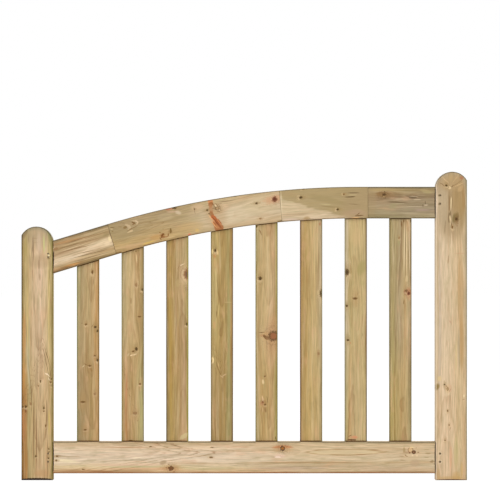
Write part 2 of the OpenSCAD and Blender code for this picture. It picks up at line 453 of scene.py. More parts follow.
def join_up(bm, joints, numbers, node, seed, tenon_at=None, step=0.02, along=X):
    """Makes a timber of the upper rail from its blank. A joint is a point of the top edge and the way out."""
    ease(bm, long_edges(bm, [way for _, way in joints]), arris)
    break_ends(bm, joints)
    for point, outward in joints:
        dowel_holes(bm, point, outward)
    if tenon_at:
        tenon(bm, *tenon_at)
    for number in numbers:
        low, high = pale_boxes[number - 1]
        ends = [upper_rail_z(x, rail_w) for x in (low.x, high.x)]
        lean = abs(ends[1] - ends[0]) / (high.x - low.x)
        depth = (house_depth + house_floor) * math.sqrt(1 + lean * lean)
        housing(bm, number, min(ends), max(ends), -Z, depth)
    wear(bm, seed, step, along)
    name = {"low": "slope", "tall": "level"}.get(node, node)
    finish_piece(bm, f"upper_rail_{name}", f"top_rail_{node}")


# %% Straight timber on the slope
slope_way = tangent(sweep_angle)
slope_top = on_sweep(sweep_angle, 0)
bm = block(Vector((-0.4, face_y, -rail_w)), Vector((0, back_y, 0)))
place = Matrix.Translation(slope_top) @ Matrix.Rotation(-sweep_angle, 4, "Y")
bmesh.ops.transform(bm, matrix=place, verts=bm.verts)
slice_mesh(bm, low_face * X, -X, clear=True)
join_up(bm, [(slope_top, slope_way)], [1], "low", 40, (low_face, mortise_z["low"], -1), along=slope_way)

# %% Long timber sawn to the sweep
bm = swung_rail(crest_angle, sweep_angle - crest_angle, 26)
crest_top = on_sweep(crest_angle, 0)
crest_way = tangent(crest_angle)
join_up(bm, [(crest_top, crest_way), (slope_top, -slope_way)], [2, 3, 4, 5], "sweep", 41, step=0.5)

# %% Short timber sawn to the rest of the sweep, with a level end
bm = swung_rail(0, crest_angle, 12)
level_end = [f for f in bm.faces if f.normal.x > 0.999]
for vert in verts_of(bmesh.ops.extrude_face_region(bm, geom=level_end)):
    vert.co.x = level_joint
bmesh.ops.delete(bm, geom=[f for f in level_end if f.is_valid], context="FACES")
level_top = Vector((level_joint, 0, level_z))
join_up(bm, [(level_top, X), (crest_top, -crest_way)], [6, 7], "crest", 42, step=0.5)

# %% Straight level timber at the tall stile
bm = block(Vector((level_joint, face_y, level_z - rail_w)), Vector((tall_face, back_y, level_z)))
join_up(bm, [(level_top, -X)], [8], "tall", 43, (tall_face, mortise_z["tall"], 1))

# %% [markdown]
# ## The wood
#
# The gate is pine, cut flat from the log, planed and pressure treated. Four things make its look. Growth
# rings meet the face as long lines and, over the middle of the log, as nested arches. The lines swerve
# round every knot. The treatment and the heartwood colour each board in soft bands along the grain, from
# cream through honey to olive. And the edges carry painted shade, darker than the faces, from the outermost
# bands and a colour of their own, with a painted highlight on one. A picture of wood would show the same
# knots on every board, and on the end grain too, so the wood is built from the place of each point in its
# own board instead: across, into and along it.
#
# Node trees read badly as lists of links, so what a node gives out is wrapped in a Value. Adding or
# multiplying Values makes the Math nodes, and the wood can be written down as the sums that it is.

# %% Helpers: values that nodes give out


class Value:
    """What a node gives out. Reckoning with it makes Math nodes in the same tree."""

    def __init__(self, socket):
        self.socket = socket

    def __add__(self, other):
        return calc("ADD", self, other)

    def __sub__(self, other):
        return calc("SUBTRACT", self, other)

    def __rsub__(self, other):
        return calc("SUBTRACT", other, self)

    def __mul__(self, other):
        return Product(self, other)

    def __truediv__(self, other):
        return calc("DIVIDE", self, other)

    def __pow__(self, other):
        return calc("POWER", self, other)

    def __abs__(self):
        return calc("ABSOLUTE", self)


class Product(Value):
    """Two factors. Added to something they make one Multiply Add node, and otherwise a Multiply node. That
    saves nodes, and the renderer leaves a material black that is too big for it."""

    def __init__(self, *factors):
        self.factors = factors

    def __add__(self, other):
        return calc("MULTIPLY_ADD", *self.factors, other)

    @cached_property
    def socket(self):
        return calc("MULTIPLY", *self.factors).socket


# %% Helpers: nodes that take values


def feed(socket, value):
    """Links a socket to what a node gives out, or sets it to a number or a colour."""
    if isinstance(value, Value):
        value = value.socket
    if isinstance(value, bpy.types.NodeSocket):
        socket.id_data.links.new(value, socket)
    else:
        socket.default_value = value


def add_node(tree, kind, fed, **settings):
    """A node with its settings made and its inputs fed: the first ones from a list, others by their names."""
    pairs = fed.items() if isinstance(fed, dict) else enumerate(fed)
    # A product makes its node when it is asked for one, and that node has to come before this one.
    pairs = [(key, value.socket if isinstance(value, Value) else value) for key, value in pairs]
    made = tree.nodes.new("ShaderNode" + kind)
    for name, setting in settings.items():
        setattr(made, name, setting)
    for key, value in pairs:
        feed(made.inputs[key], value)
    return made


def tree_of(*values):
    """The node tree that the first Value among some values belongs to."""
    return next(value.socket.id_data for value in values if isinstance(value, Value))


def outputs_of(node):
    """All that a node gives out, by name."""
    return SimpleNamespace(**{o.name.lower().replace(" ", "_"): Value(o) for o in node.outputs if o.name})


# %% Helpers: the nodes that wood is made with


def calc(operation, *values):
    """A Math node."""
    return Value(add_node(tree_of(*values), "Math", values, operation=operation).outputs[0])


def fade(value, start, end):
    """0 at start, 1 at end, smooth between. Start may be the larger one."""
    fed = (value, start, end, 0.0, 1.0)
    return Value(add_node(tree_of(value), "MapRange", fed, interpolation_type="SMOOTHSTEP").outputs[0])


def mix(share, first, second, blend="MIX"):
    """A colour Mix node. Its inputs for colours are the seventh and the eighth."""
    fed = {0: share, 6: first, 7: second}
    made = add_node(tree_of(share, first, second), "Mix", fed, data_type="RGBA", blend_type=blend)
    return Value(made.outputs[2])


def glaze(share, colour, code):
    """A share of a colour laid over another one like a glaze, so that it only darkens."""
    return mix(share, colour, shade(code), "MULTIPLY")


def join(*values):
    """Three values as one vector."""
    return Value(add_node(tree_of(*values), "CombineXYZ", values).outputs[0])


def split(vector):
    """A vector as three values."""
    return [Value(part) for part in add_node(tree_of(vector), "SeparateXYZ", [vector]).outputs]


def cloud(vector, detail=2.0, roughness=0.5, scale=1.0):
    """Noise about a half, one lump to a unit."""
    fed = {"Vector": vector, "Scale": scale, "Detail": detail, "Roughness": roughness}
    return outputs_of(add_node(tree_of(vector), "TexNoise", fed)).fac


# %% Helpers: groups, materials, colours and lengths


def new_group(name, inputs, outputs):
    """An empty node group, and what it is given and gives back: numbers, or colours where a name says so."""
    tree = bpy.data.node_groups.new(name, "ShaderNodeTree")
    for way, names in (("INPUT", inputs), ("OUTPUT", outputs)):
        for label in names.split():
            kind = "NodeSocketColor" if label.startswith("colour") else "NodeSocketFloat"
            tree.interface.new_socket(label, in_out=way, socket_type=kind)
    return tree, outputs_of(tree.nodes.new("NodeGroupInput")), tree.nodes.new("NodeGroupOutput").inputs


def use_group(group, *values):
    """What a group gives back for these inputs."""
    return outputs_of(add_node(tree_of(*values), "Group", values, node_tree=group))


def new_material(name):
    """An empty material, with its tree, its shader's inputs and the coordinates of its points."""
    made = bpy.data.materials.new(name)
    made.use_nodes = True
    tree = made.node_tree
    return made, tree, tree.nodes["Principled BSDF"].inputs, outputs_of(add_node(tree, "TexCoord", []))


def shade(code):
    """A colour as on a paint chart, 0xRRGGBB, in the numbers that the shader wants."""
    line = []
    for part in code.to_bytes(3, "big"):
        part = part / 255
        line.append(part / 12.92 if part <= 0.04045 else ((part + 0.055) / 1.055) ** 2.4)
    return (*line, 1.0)


def mm(*lengths):
    """Millimetres in metres."""
    return [length / 1000 for length in lengths]


# %% [markdown]
# ### Figure: rings, streaks, threads and fibres
#
# The pith of the log runs along the board, somewhere behind or beside it. The distance to it, divided by
# the width of a ring, counts the rings. A log narrows towards its top, so the count also creeps along the
# board, and that is what closes the lines into arches. Pale spring wood darkens slowly through each ring
# into late wood and ends sharply. Streaks, threads and fibres are noise of three sizes, stretched along the
# grain.

# %% Group: figure
figure, given, result = new_group(
    "figure",
    "across deep along pith_across pith_deep ring taper seed",
    "late streak thread fibre wander mottle",
)


def lumps(across, wide, long, detail, roughness):
    """Noise with so many lumps to a metre across and into the board, and so many along it."""
    place = join(across * wide + given.seed, given.deep * wide + given.seed, given.along * long)
    return cloud(place, detail, roughness)


wander = lumps(given.across, 9.0, 1.8, 2.0, 0.5) - 0.5
swell = lumps(given.across, 18.0, 6.0, 3.0, 0.55) - 0.5
bent = wander * 0.014 + given.across
side_way = bent - given.pith_across
deep_way = given.deep - given.pith_deep
from_pith = calc("SQRT", side_way * side_way + deep_way * deep_way)
count = (swell * 0.009 + given.along * given.taper + from_pith) / given.ring
through = calc("FRACT", count)
uneven = add_node(figure, "TexWhiteNoise", {"W": calc("FLOOR", count) + given.seed}, noise_dimensions="1D")
strength = outputs_of(uneven).value * 0.8 + 0.2
feed(result["late"], through**3.0 * fade(through, 1.0, 0.90) * strength)
feed(result["streak"], lumps(bent, 120.0, 4.5, 3.0, 0.6))
feed(result["thread"], lumps(bent, 330.0, 14.0, 2.0, 0.6))
feed(result["fibre"], lumps(bent, 950.0, 40.0, 2.0, 0.6))
feed(result["wander"], wander)
feed(result["mottle"], lumps(bent, 55.0, 18.0, 3.0, 0.55))
print("figure:", len(figure.nodes), "nodes")

# %% [markdown]
# ### Arches
#
# Where a bump of the log was planed through, the rings show as a short nest of arches of their own, pointed
# like church windows. The group counts how far a point lies behind the tip, less its distance across times
# a steepness, with the very tip rounded off.

# %% Group: arches
arches, given, result = new_group(
    "arches", "across along rough at_across at_along steep space reach strength", "line"
)
blunt = 0.003
over = given.across - given.at_across
behind_tip = (given.at_along - given.along) * calc("SIGN", given.reach)
rounded = calc("SQRT", over * over + blunt**2) - blunt
nested = (given.rough - 0.5) * 2.2 * given.space + (behind_tip - rounded * given.steep)
part_way = calc("FRACT", nested / given.space)
line = fade(part_way, 0.34, 0.0) * fade(part_way, 0.0, 0.05)
window = fade(nested, -0.0005, 0.001) * fade(nested, abs(given.reach), 0.0)
feed(result["line"], line * window * given.strength)
print("arches:", len(arches.nodes), "nodes")

# %% [markdown]
# ### Knots
#
# A knot is the root of a branch. The grain parts in front of it and closes behind it, as water does round a
# stone, so the group gives a slip that moves the lines aside, and the distance from its middle in radii. A
# second group paints it from that distance: a resinous glow drawn out along the grain, a pale crescent
# under the branch, faint ripples in the wood that closed round it, a dark rim, and a heart with fine rings.

# %% Groups: knot and knot paint
knot, given, result = new_group(
    "knot", "across along rough at_across at_along radius stretch", "slip away glow under"
)
over = given.across - given.at_across
on = given.along - given.at_along
on_core = on / given.stretch
reach = calc("SQRT", on_core * on_core + over * over)
ragged = (given.rough - 0.5) * 2.0 + 1.0
on_far = on * 0.38
far_two = on_far * on_far + over * over
stone = given.radius * 1.8
stone_two = stone * stone
feed(result["slip"], over * (stone_two / (far_two + stone_two)) * -0.85)
far = calc("SQRT", far_two) / given.radius * ragged
away = reach / given.radius * ragged
feed(result["away"], away)
feed(result["glow"], fade(far, 2.7, 0.8))
crescent = fade(away, 3.4, 2.0) * fade(away, 1.1, 1.6)
feed(result["under"], crescent * fade(on / reach, -0.2, -0.8))

paint, given, result = new_group(
    "knot paint",
    "colour away rough glow under glow_strength swirl colour_glow colour_rim colour_heart",
    "colour",
)
glowing = mix(given.glow * given.glow_strength, given.colour, given.colour_glow)
below = given.under * (0.9 - given.swirl) * fade(given.rough, 0.30, 0.60)
glowing = mix(below, glowing, shade(0xe4c89a))
ripple = (calc("SINE", given.away * 5.6 + given.rough * 3.0) * 0.5 + 0.5) ** 3.0
ripple = ripple * given.swirl * fade(given.away, 4.6, 1.6) * fade(given.rough, 0.35, 0.55)
glowing = mix(ripple, glowing, mix(0.35, given.colour_rim, given.colour))
rimmed = mix(fade(given.away, 1.5, 1.05) * 0.85, glowing, given.colour_rim)
rings_in = calc("SINE", given.away * 19.0) * 0.14 + 0.84
feed(result["colour"], mix(fade(given.away, 0.95, 0.55) * rings_in, rimmed, given.colour_heart))
print("knot:", len(knot.nodes), "nodes, and its paint:", len(paint.nodes))

# %% [markdown]
# ### Patches
#
# Some marks belong to one board: a pale tongue of sapwood, a stain, a resin streak, a fine drying crack. A
# patch is an ellipse laid along the grain, soft-edged or crisp, in a colour of its own. A thin long one is
# a streak or a crack.

# %% Group: patch
patch, given, result = new_group(
    "patch",
    "colour across along rough at_across at_along half_width half_length tilt strength solid colour_patch",
    "colour share",
)
over = given.across - given.at_across
on = given.along - given.at_along
cosine = calc("COSINE", given.tilt)
sine = calc("SINE", given.tilt)
wide = (over * cosine - on * sine) / given.half_width
tall = (over * sine + on * cosine) / given.half_length
round_way = (given.rough - 0.5) * 0.9 + (wide * wide + tall * tall)
share = fade(round_way, 1.0, given.solid) * given.strength * (given.rough * 0.6 + 0.72)
feed(result["share"], share)
feed(result["colour"], mix(share, given.colour, given.colour_patch))
print("patch:", len(patch.nodes), "nodes")

# %% [markdown]
# ### A board's own wood
#
# One function makes the wood of one board. It takes where the board's middle line starts and how it leans,
# its width, the bands of colour at its foot and at its head, where the one gives way to the other, where the
# pith ran, how wide a ring is, and lists of arches, patches and knots. The places and sizes in them are
# across and along the board, in millimetres, and the shares are in hundredths:
#
# - a band is its place and its colour;
# - an arch nest is its place, steepness, spacing, reach and strength;
# - a patch is its place, half its width and length, its colour, its strength and, where they matter, its
#   tilt in degrees and how much of it is solid;
# - a knot is its place, its radius, how far it is drawn out along the grain, and its kind.
#
# Branches rise through the board at a slant, so a knot on the back lies a little aside from where it is on
# the face. The swept rail has the most marks and comes close to what the renderer can hold in one material:
# one more knot still fits in it, and with two more it turns black.

# %% Kinds of knots: glow, rim, heart, how strong the glow is and how much the wood swirls
KNOTS = {
    kind: (*(shade(code) for code in codes), glow, swirl)
    for kind, codes, glow, swirl in (
        ("dark", (0xa08252, 0x684e24, 0x442f12), 0.5, 0.3),
        ("brown", (0xae8a58, 0x846236, 0x684822), 0.5, 0.3),
        ("red", (0xcc946a, 0x784426, 0x5c2c16), 0.65, 0.7),
        ("heart", (0xceb082, 0x8a5830, 0x6c503a), 0.4, 0.6),
        ("rust", (0xc49668, 0x624222, 0x9e623c), 0.5, 0.9),
        ("amber", (0xc4945c, 0x644020, 0x784c26), 0.6, 0.7),
        ("faint", (0xb28e60, 0x94724a, 0x9c784e), 0.5, 0.5),
        ("pale", (0xdec292, 0x84643e, 0xbe9c6c), 0.6, 0.6),
        ("ring", (0xcea068, 0x3e240c, 0xac6c2e), 0.6, 0.9),
        ("wing", (0x907046, 0x684c28, 0x503618), 0.8, 0.9),
        ("curl", (0xceb286, 0x745836, 0xba986a), 0.4, 1.0),
    )
}
print(len(KNOTS), "kinds of knots")

# %% Helpers: bands, figure and a darkened head


def ramp(value, half, bands):
    """Bands of colour across a board."""
    made = add_node(tree_of(value), "ValToRGB", [value * (0.5 / half) + 0.5])
    stops = made.color_ramp.elements
    while len(stops) < len(bands):
        stops.new(0.5)
    for stop, (place, code) in zip(stops, bands):
        stop.position = 0.5 + 0.5 * place / 1000 / half
        stop.color = shade(code)
    return Value(made.outputs[0])


def stained(grain, colour, bold, rings):
    """The board's bands with its figure in them. bold is how strong the figure shows."""
    colour = glaze(fade(grain.streak, 0.50, 0.72) * (0.60 * bold), colour, 0xd8c6ac)
    colour = mix(fade(grain.streak, 0.50, 0.30) * (0.26 * bold), colour, shade(0xe6d0aa))
    colour = mix(fade(grain.mottle, 0.54, 0.72) * 0.30, colour, shade(0xd4a880))
    colour = mix(fade(grain.mottle, 0.46, 0.28) * 0.28, colour, shade(0xa29260))
    colour = glaze(grain.late * (rings * bold), colour, 0xba9a70)
    return glaze(fade(grain.thread, 0.60, 0.72) * (0.35 * bold), colour, 0xbc9c76)


def crowned(across, along, colour, middle, spring, strength):
    """Darkens a round head toward its rim. middle and spring are its centre, across and along."""
    off = across - middle
    up = calc("MAXIMUM", along - spring, 0.0)
    reach = (up * up + off * off) ** 0.5
    dusk = fade(reach, head_radius - 0.014, head_radius - 0.001) * strength * fade(up, 0.002, 0.012)
    return glaze(dusk, colour, 0xccdcde)


# %% Function: wood for one board
half_p = (pale_boxes[0][1].x - pale_boxes[0][0].x) / 2
pale_pitch = pale_boxes[1][0].x - pale_boxes[0][0].x


def wood(name, start, turn, half, foot, head, change, pith, ring=3.2, taper=0.012, seed=1.0, nests=(),
         patches=(), knots=(), rings=0.6, edges=(), bright=1.0, bold=1.0, blue=1.0, face=face_y, pales_at=0,
         crown=None):
    """The wood of one board. start is a point of its middle line, and turn its lean about Y. face is where
    its front is, and pales_at the side that the pales go into. crown is the centre of a round head, in
    metres, and how much that head darkens."""
    made, tree, shader, place = new_material(name)
    fed = {"Vector": place.object, "Location": start, "Rotation": (0, turn, 0)}
    board = add_node(tree, "Mapping", fed, vector_type="TEXTURE")
    across, deep, along = split(Value(board.outputs[0]))
    behind = deep - face
    slant = behind * 0.2 + across, behind * -0.3 + along
    rough = cloud(join(across * 380.0, seed, along * 300.0), 3.0, 0.6)

    # The grain's lines slip aside at each knot in turn, and the figure is drawn where they end up.
    slipped = across
    found = []
    for at_across, at_along, radius, stretch, kind in knots:
        out = use_group(knot, *slant, rough, *mm(at_across, at_along, radius), stretch)
        slipped = slipped + out.slip
        found.append((out, KNOTS[kind]))
    grain = use_group(figure, slipped, deep, along, *mm(*pith, ring), taper, seed)

    # Bands of colour sway with the grain. Round on the narrow sides they draw in, away from the edge.
    swayed = (grain.streak - 0.5) * 0.010 + (grain.wander * 0.010 + slipped)
    normal = split(place.normal)
    facing = normal[1] * normal[1]
    narrow = fade(facing, 0.35, 0.05)
    banded = swayed * (1.0 - narrow * (behind * 4.0 + 0.20))
    climb = (grain.streak - 0.5) * 0.12 + along
    colour = mix(fade(climb, *mm(*change)), ramp(banded, half, foot), ramp(banded, half, head))
    colour = mix(1.0, colour, (bright, bright, bright * blue, 1), "MULTIPLY")
    colour = stained(grain, colour, bold, rings)
    light = (grain.fibre - 0.5) * 0.30 + ((grain.thread - 0.5) * (0.90 * bold) + 1.0)
    colour = mix(1.0, colour, join(light, light, (light - 1.0) * 1.3 + 1.0), "MULTIPLY")
    for at_across, at_along, steep, space, far, strong in nests:
        fed = swayed, along, grain.streak, *mm(at_across, at_along), steep, *mm(space, far), strong / 100
        colour = glaze(use_group(arches, *fed).line, colour, 0xb08c60)

    relief = grain.fibre * 0.35 + grain.late * 0.25
    for at_across, at_along, half_width, half_length, code, strong, *more in patches:
        # A long hairline runs straight. All other marks sway with the grain, and a thin dark one is a crack.
        hair = half_width < 2
        dark = sum(code.to_bytes(3, "big")) < 330
        tilt, solid = more + [0, 10][len(more):]
        fed = colour, across if hair and half_length > 50 else swayed, along, grain.thread
        fed += *mm(at_across, at_along, half_width, half_length), math.radians(tilt)
        out = use_group(patch, *fed, strong / 100, solid / 100, shade(code))
        colour = out.colour
        if hair and dark:
            relief = out.share * -0.8 + relief
    if half > half_p:
        over = (light - 1.0) * 0.45 + 1.0
        colour = mix(1.0, colour, join(over, over, over), "MULTIPLY")
    for out, (glow, rim, heart, strong, swirl) in found:
        fed = colour, out.away, grain.mottle, out.glow, out.under, strong, swirl, glow, rim, heart
        colour = use_group(paint, *fed).colour
        relief = fade(out.away, 1.3, 0.9) * -0.35 + relief
    if crown:
        colour = crowned(across, along, colour, *crown)

    # Edges get painted shade, on the face more than on the narrow sides, and none where a pale goes in.
    margin = fade(abs(across), half - 0.0045, half - 0.0015)
    kept = fade(behind, 0.016, 0.004) * 0.55 + 0.25
    margin = margin * (narrow * (kept - 1.0) + 1.0)
    edge_shade_share = calc("MAXIMUM", fade(facing * (1.0 - facing) * 4.0, 0.0, 0.8), margin)
    edge_shade_share = edge_shade_share * (grain.mottle * 0.4 + 0.6)
    if pales_at:
        past = calc("FRACT", split(place.object)[0] / pale_pitch)
        past = abs(past - 0.5) * pale_pitch
        beside = fade(past, half_p - 0.002, half_p + 0.001)
        free = calc("MAXIMUM", fade(across * pales_at, 0.005, -0.005), beside)
        edge_shade_share = edge_shade_share * calc("MAXIMUM", free, narrow)
    # Colours of the painted shade, left and right, with a painted highlight on the tall stile's inner edge.
    edge_light_shade = mix(fade(across, -0.005, 0.005), shade(edges[0]), shade(edges[1]))
    # Upright boards get painted shade in colours of their own on upper edges and, where they stand, lower
    # ones.
    if turn == 0:
        edge_light_shade = mix(fade(normal[2], 0.15, 0.4), edge_light_shade, shade(edges[2]))
        edge_light_shade = mix(fade(normal[2], -0.15, -0.4), edge_light_shade, shade(edges[3]))
    colour = mix(edge_shade_share, colour, edge_light_shade)
    # Sawn ends are darker.
    fed = {"Vector": place.normal, "Angle": turn}
    lengthwise = add_node(tree, "VectorRotate", fed, rotation_type="Y_AXIS", invert=True)
    end_way = split(Value(lengthwise.outputs[0]))[2]
    colour = glaze(fade(abs(end_way), 0.35, 0.9) * 0.75, colour, 0xcec496)

    feed(shader["Base Color"], colour)
    feed(shader["Roughness"], grain.streak * -0.16 + 0.80)
    feed(shader["Specular IOR Level"], edge_shade_share * -0.27 + 0.28)
    bump = add_node(tree, "Bump", {"Strength": 0.5, "Distance": 0.0005, "Height": relief})
    feed(shader["Normal"], Value(bump.outputs[0]))
    print(name, len(tree.nodes), "nodes")
    return made


def dress(piece, material):
    """Gives a piece its material, in its only slot."""
    piece.data.materials.clear()
    piece.data.materials.append(material)


# %% [markdown]
# ### Wood of the stiles
#
# The low stile is tan in its middle, olive along both edges near the head and orange-brown along its outer
# edge near the foot, with fine cracks rising from the foot. The tall one is pinker, and darkens round a
# knot in its head.

# %% Middle lines of the stiles
low_middle = (low_face - stile_w / 2) * X
tall_middle = (tall_face + stile_w / 2) * X
half_w = stile_w / 2
# The colour of the painted shade in the joint where a rail butts on a stile.
JOINT_SHADE = 0x34220e
print("middles of the stiles at", round(low_middle.x, 4), round(tall_middle.x, 4))

# %% Wood of the low stile
dress(pieces["low_stile"], wood(
    "low stile pine", low_middle, 0.0, half_w,
    foot=[(-46, 0x7c562c), (-40, 0x9e743e), (-31, 0xb0824a), (-24, 0xb09a68), (-10, 0xc0a576),
          (4, 0xc4a77d), (18, 0xc6a97e), (30, 0xc5a679), (39, 0xb89e6c), (46, 0x78683c)],
    head=[(-46, 0x705e32), (-38, 0xb09862), (-28, 0xc0a876), (-14, 0xcaae88), (10, 0xd0b492),
          (24, 0xcdb28a), (33, 0xc6ae7a), (40, 0xb6a06c), (46, 0x76683a)],
    change=(220, 420), pith=(12, 45), ring=3, taper=-0.02, seed=1.7, bold=0.85, bright=1.01,
    edges=(0x3e2a0c, 0x908044, 0x3a2c1e, 0x281606),
    crown=(-0.003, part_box("low_stile")[1].z - head_radius, 0.75),
    nests=[(16, 414, 3.4, 16, 130, 60)],
    patches=[(6, 600, 12, 60, 0xd2b298, 25), (6, 638, 40, 26, 0xae926c, 50),
             (0, 720, 60, 60, 0xa4906e, 60), (-12.5, 673, 1.5, 45, 0x705434, 100, 0, 40),
             (-16, 610, 1.2, 40, 0x8c6a42, 60, 0, 40), (-4, 706, 1.2, 14, 0x967850, 50, 88),
             (-2, 694, 1.2, 12, 0x967850, 50, 88), (4, 630, 1.3, 16, 0x8c6c46, 70, 0, 40),
             (6, 592, 3, 12, 0xa68660, 50), (20, 690, 2.6, 34, 0xc8c684, 70),
             (-34, 680, 7, 50, 0xac965a, 60), (-28, 480, 2.4, 140, 0xd6ba78, 50),
             (-24, 380, 2.4, 120, 0xaca47a, 60), (-38, 420, 5, 100, 0xc48c52, 60),
             (33, 480, 4, 140, 0xd0b674, 50), (0, 500, 1.2, 80, 0xa88662, 50, 1),
             (-37, 300, 5, 60, 0xc48846, 50), (-27, 340, 4, 90, 0xc0b696, 50, -4),
             (-21, 300, 1.1, 70, 0x8c704a, 70, -6, 40), (25, 350, 1.1, 60, 0x80623c, 80, -12, 40),
             (31, 350, 1.1, 50, 0x80623c, 70, -12, 40), (-10.5, 140, 1, 134, 0x74542a, 80, 0.5, 50),
             (-1.5, 110, 1, 104, 0x684824, 90, -0.5, 50), (-16, 240, 1.1, 51, 0x7e5e36, 80, 1, 40),
             (27, 180, 1.2, 70, 0x7c5c34, 80, 1, 40), (30, 70, 1.2, 80, 0x84643c, 70, 0, 40),
             (33, 170, 4, 50, 0xceb460, 60), (31, 308, 2.4, 12, 0xf0d8b4, 100, -55),
             (37, 296, 1.8, 7, 0xeed8b4, 90, -30), (34, 654, 7.5, 9.5, 0x967c4e, 60),
             (33.5, 656, 3.5, 4.5, 0xeedcb0, 90), (32, 646, 1.2, 6, 0x705830, 80, 88, 40),
             (-32, 207, 1.3, 12, 0x783e22, 90, 0, 40), (-36, 130, 1.4, 20, 0x785428, 70, 0, 40),
             (-38, 160, 6, 60, 0xc48652, 50), (-30, 60, 5, 50, 0xa07438, 50),
             (-24, 140, 3, 120, 0xb09e6c, 60), (-38, 715, 6, 24, 0x886848, 45, 25),
             (38, 700, 6, 40, 0x968c54, 60, -12), (5, 690, 11, 40, 0xceb498, 50),
             (-25, 708, 1.6, 20, 0x92784e, 70), (16, 20, 30, 14, 0xc49260, 40),
             # The last patch is a dark line at the foot: painted shade where the stile stands, over its
             # darker end grain.
             (0, 2, 50, 5.2, 0x34200c, 140, 0, 70)],
    knots=[(10, 289, 1.4, 2.6, "dark"), (3.5, 275, 1.8, 0.9, "brown"), (43, 296, 2.6, 1.2, "dark"),
           (45, 277, 2.8, 1.1, "dark"), (40, 286, 1.8, 1.4, "brown"), (-18.5, 223, 2.6, 1.5, "faint"),
           (-32.5, 214.5, 2.4, 1.2, "dark"), (-42, 214.5, 1.8, 1.2, "dark"), (19.5, 210, 2, 1.4, "dark"),
           (19.5, 201, 1.6, 1.2, "brown"), (25.5, 159, 1.8, 1.8, "brown"), (-3.5, 70, 2, 1.2, "dark"),
           (34, 91, 1.6, 1.3, "dark"), (34.5, 82, 1.4, 1.2, "dark"), (33, 64, 1.6, 1.2, "dark")]))

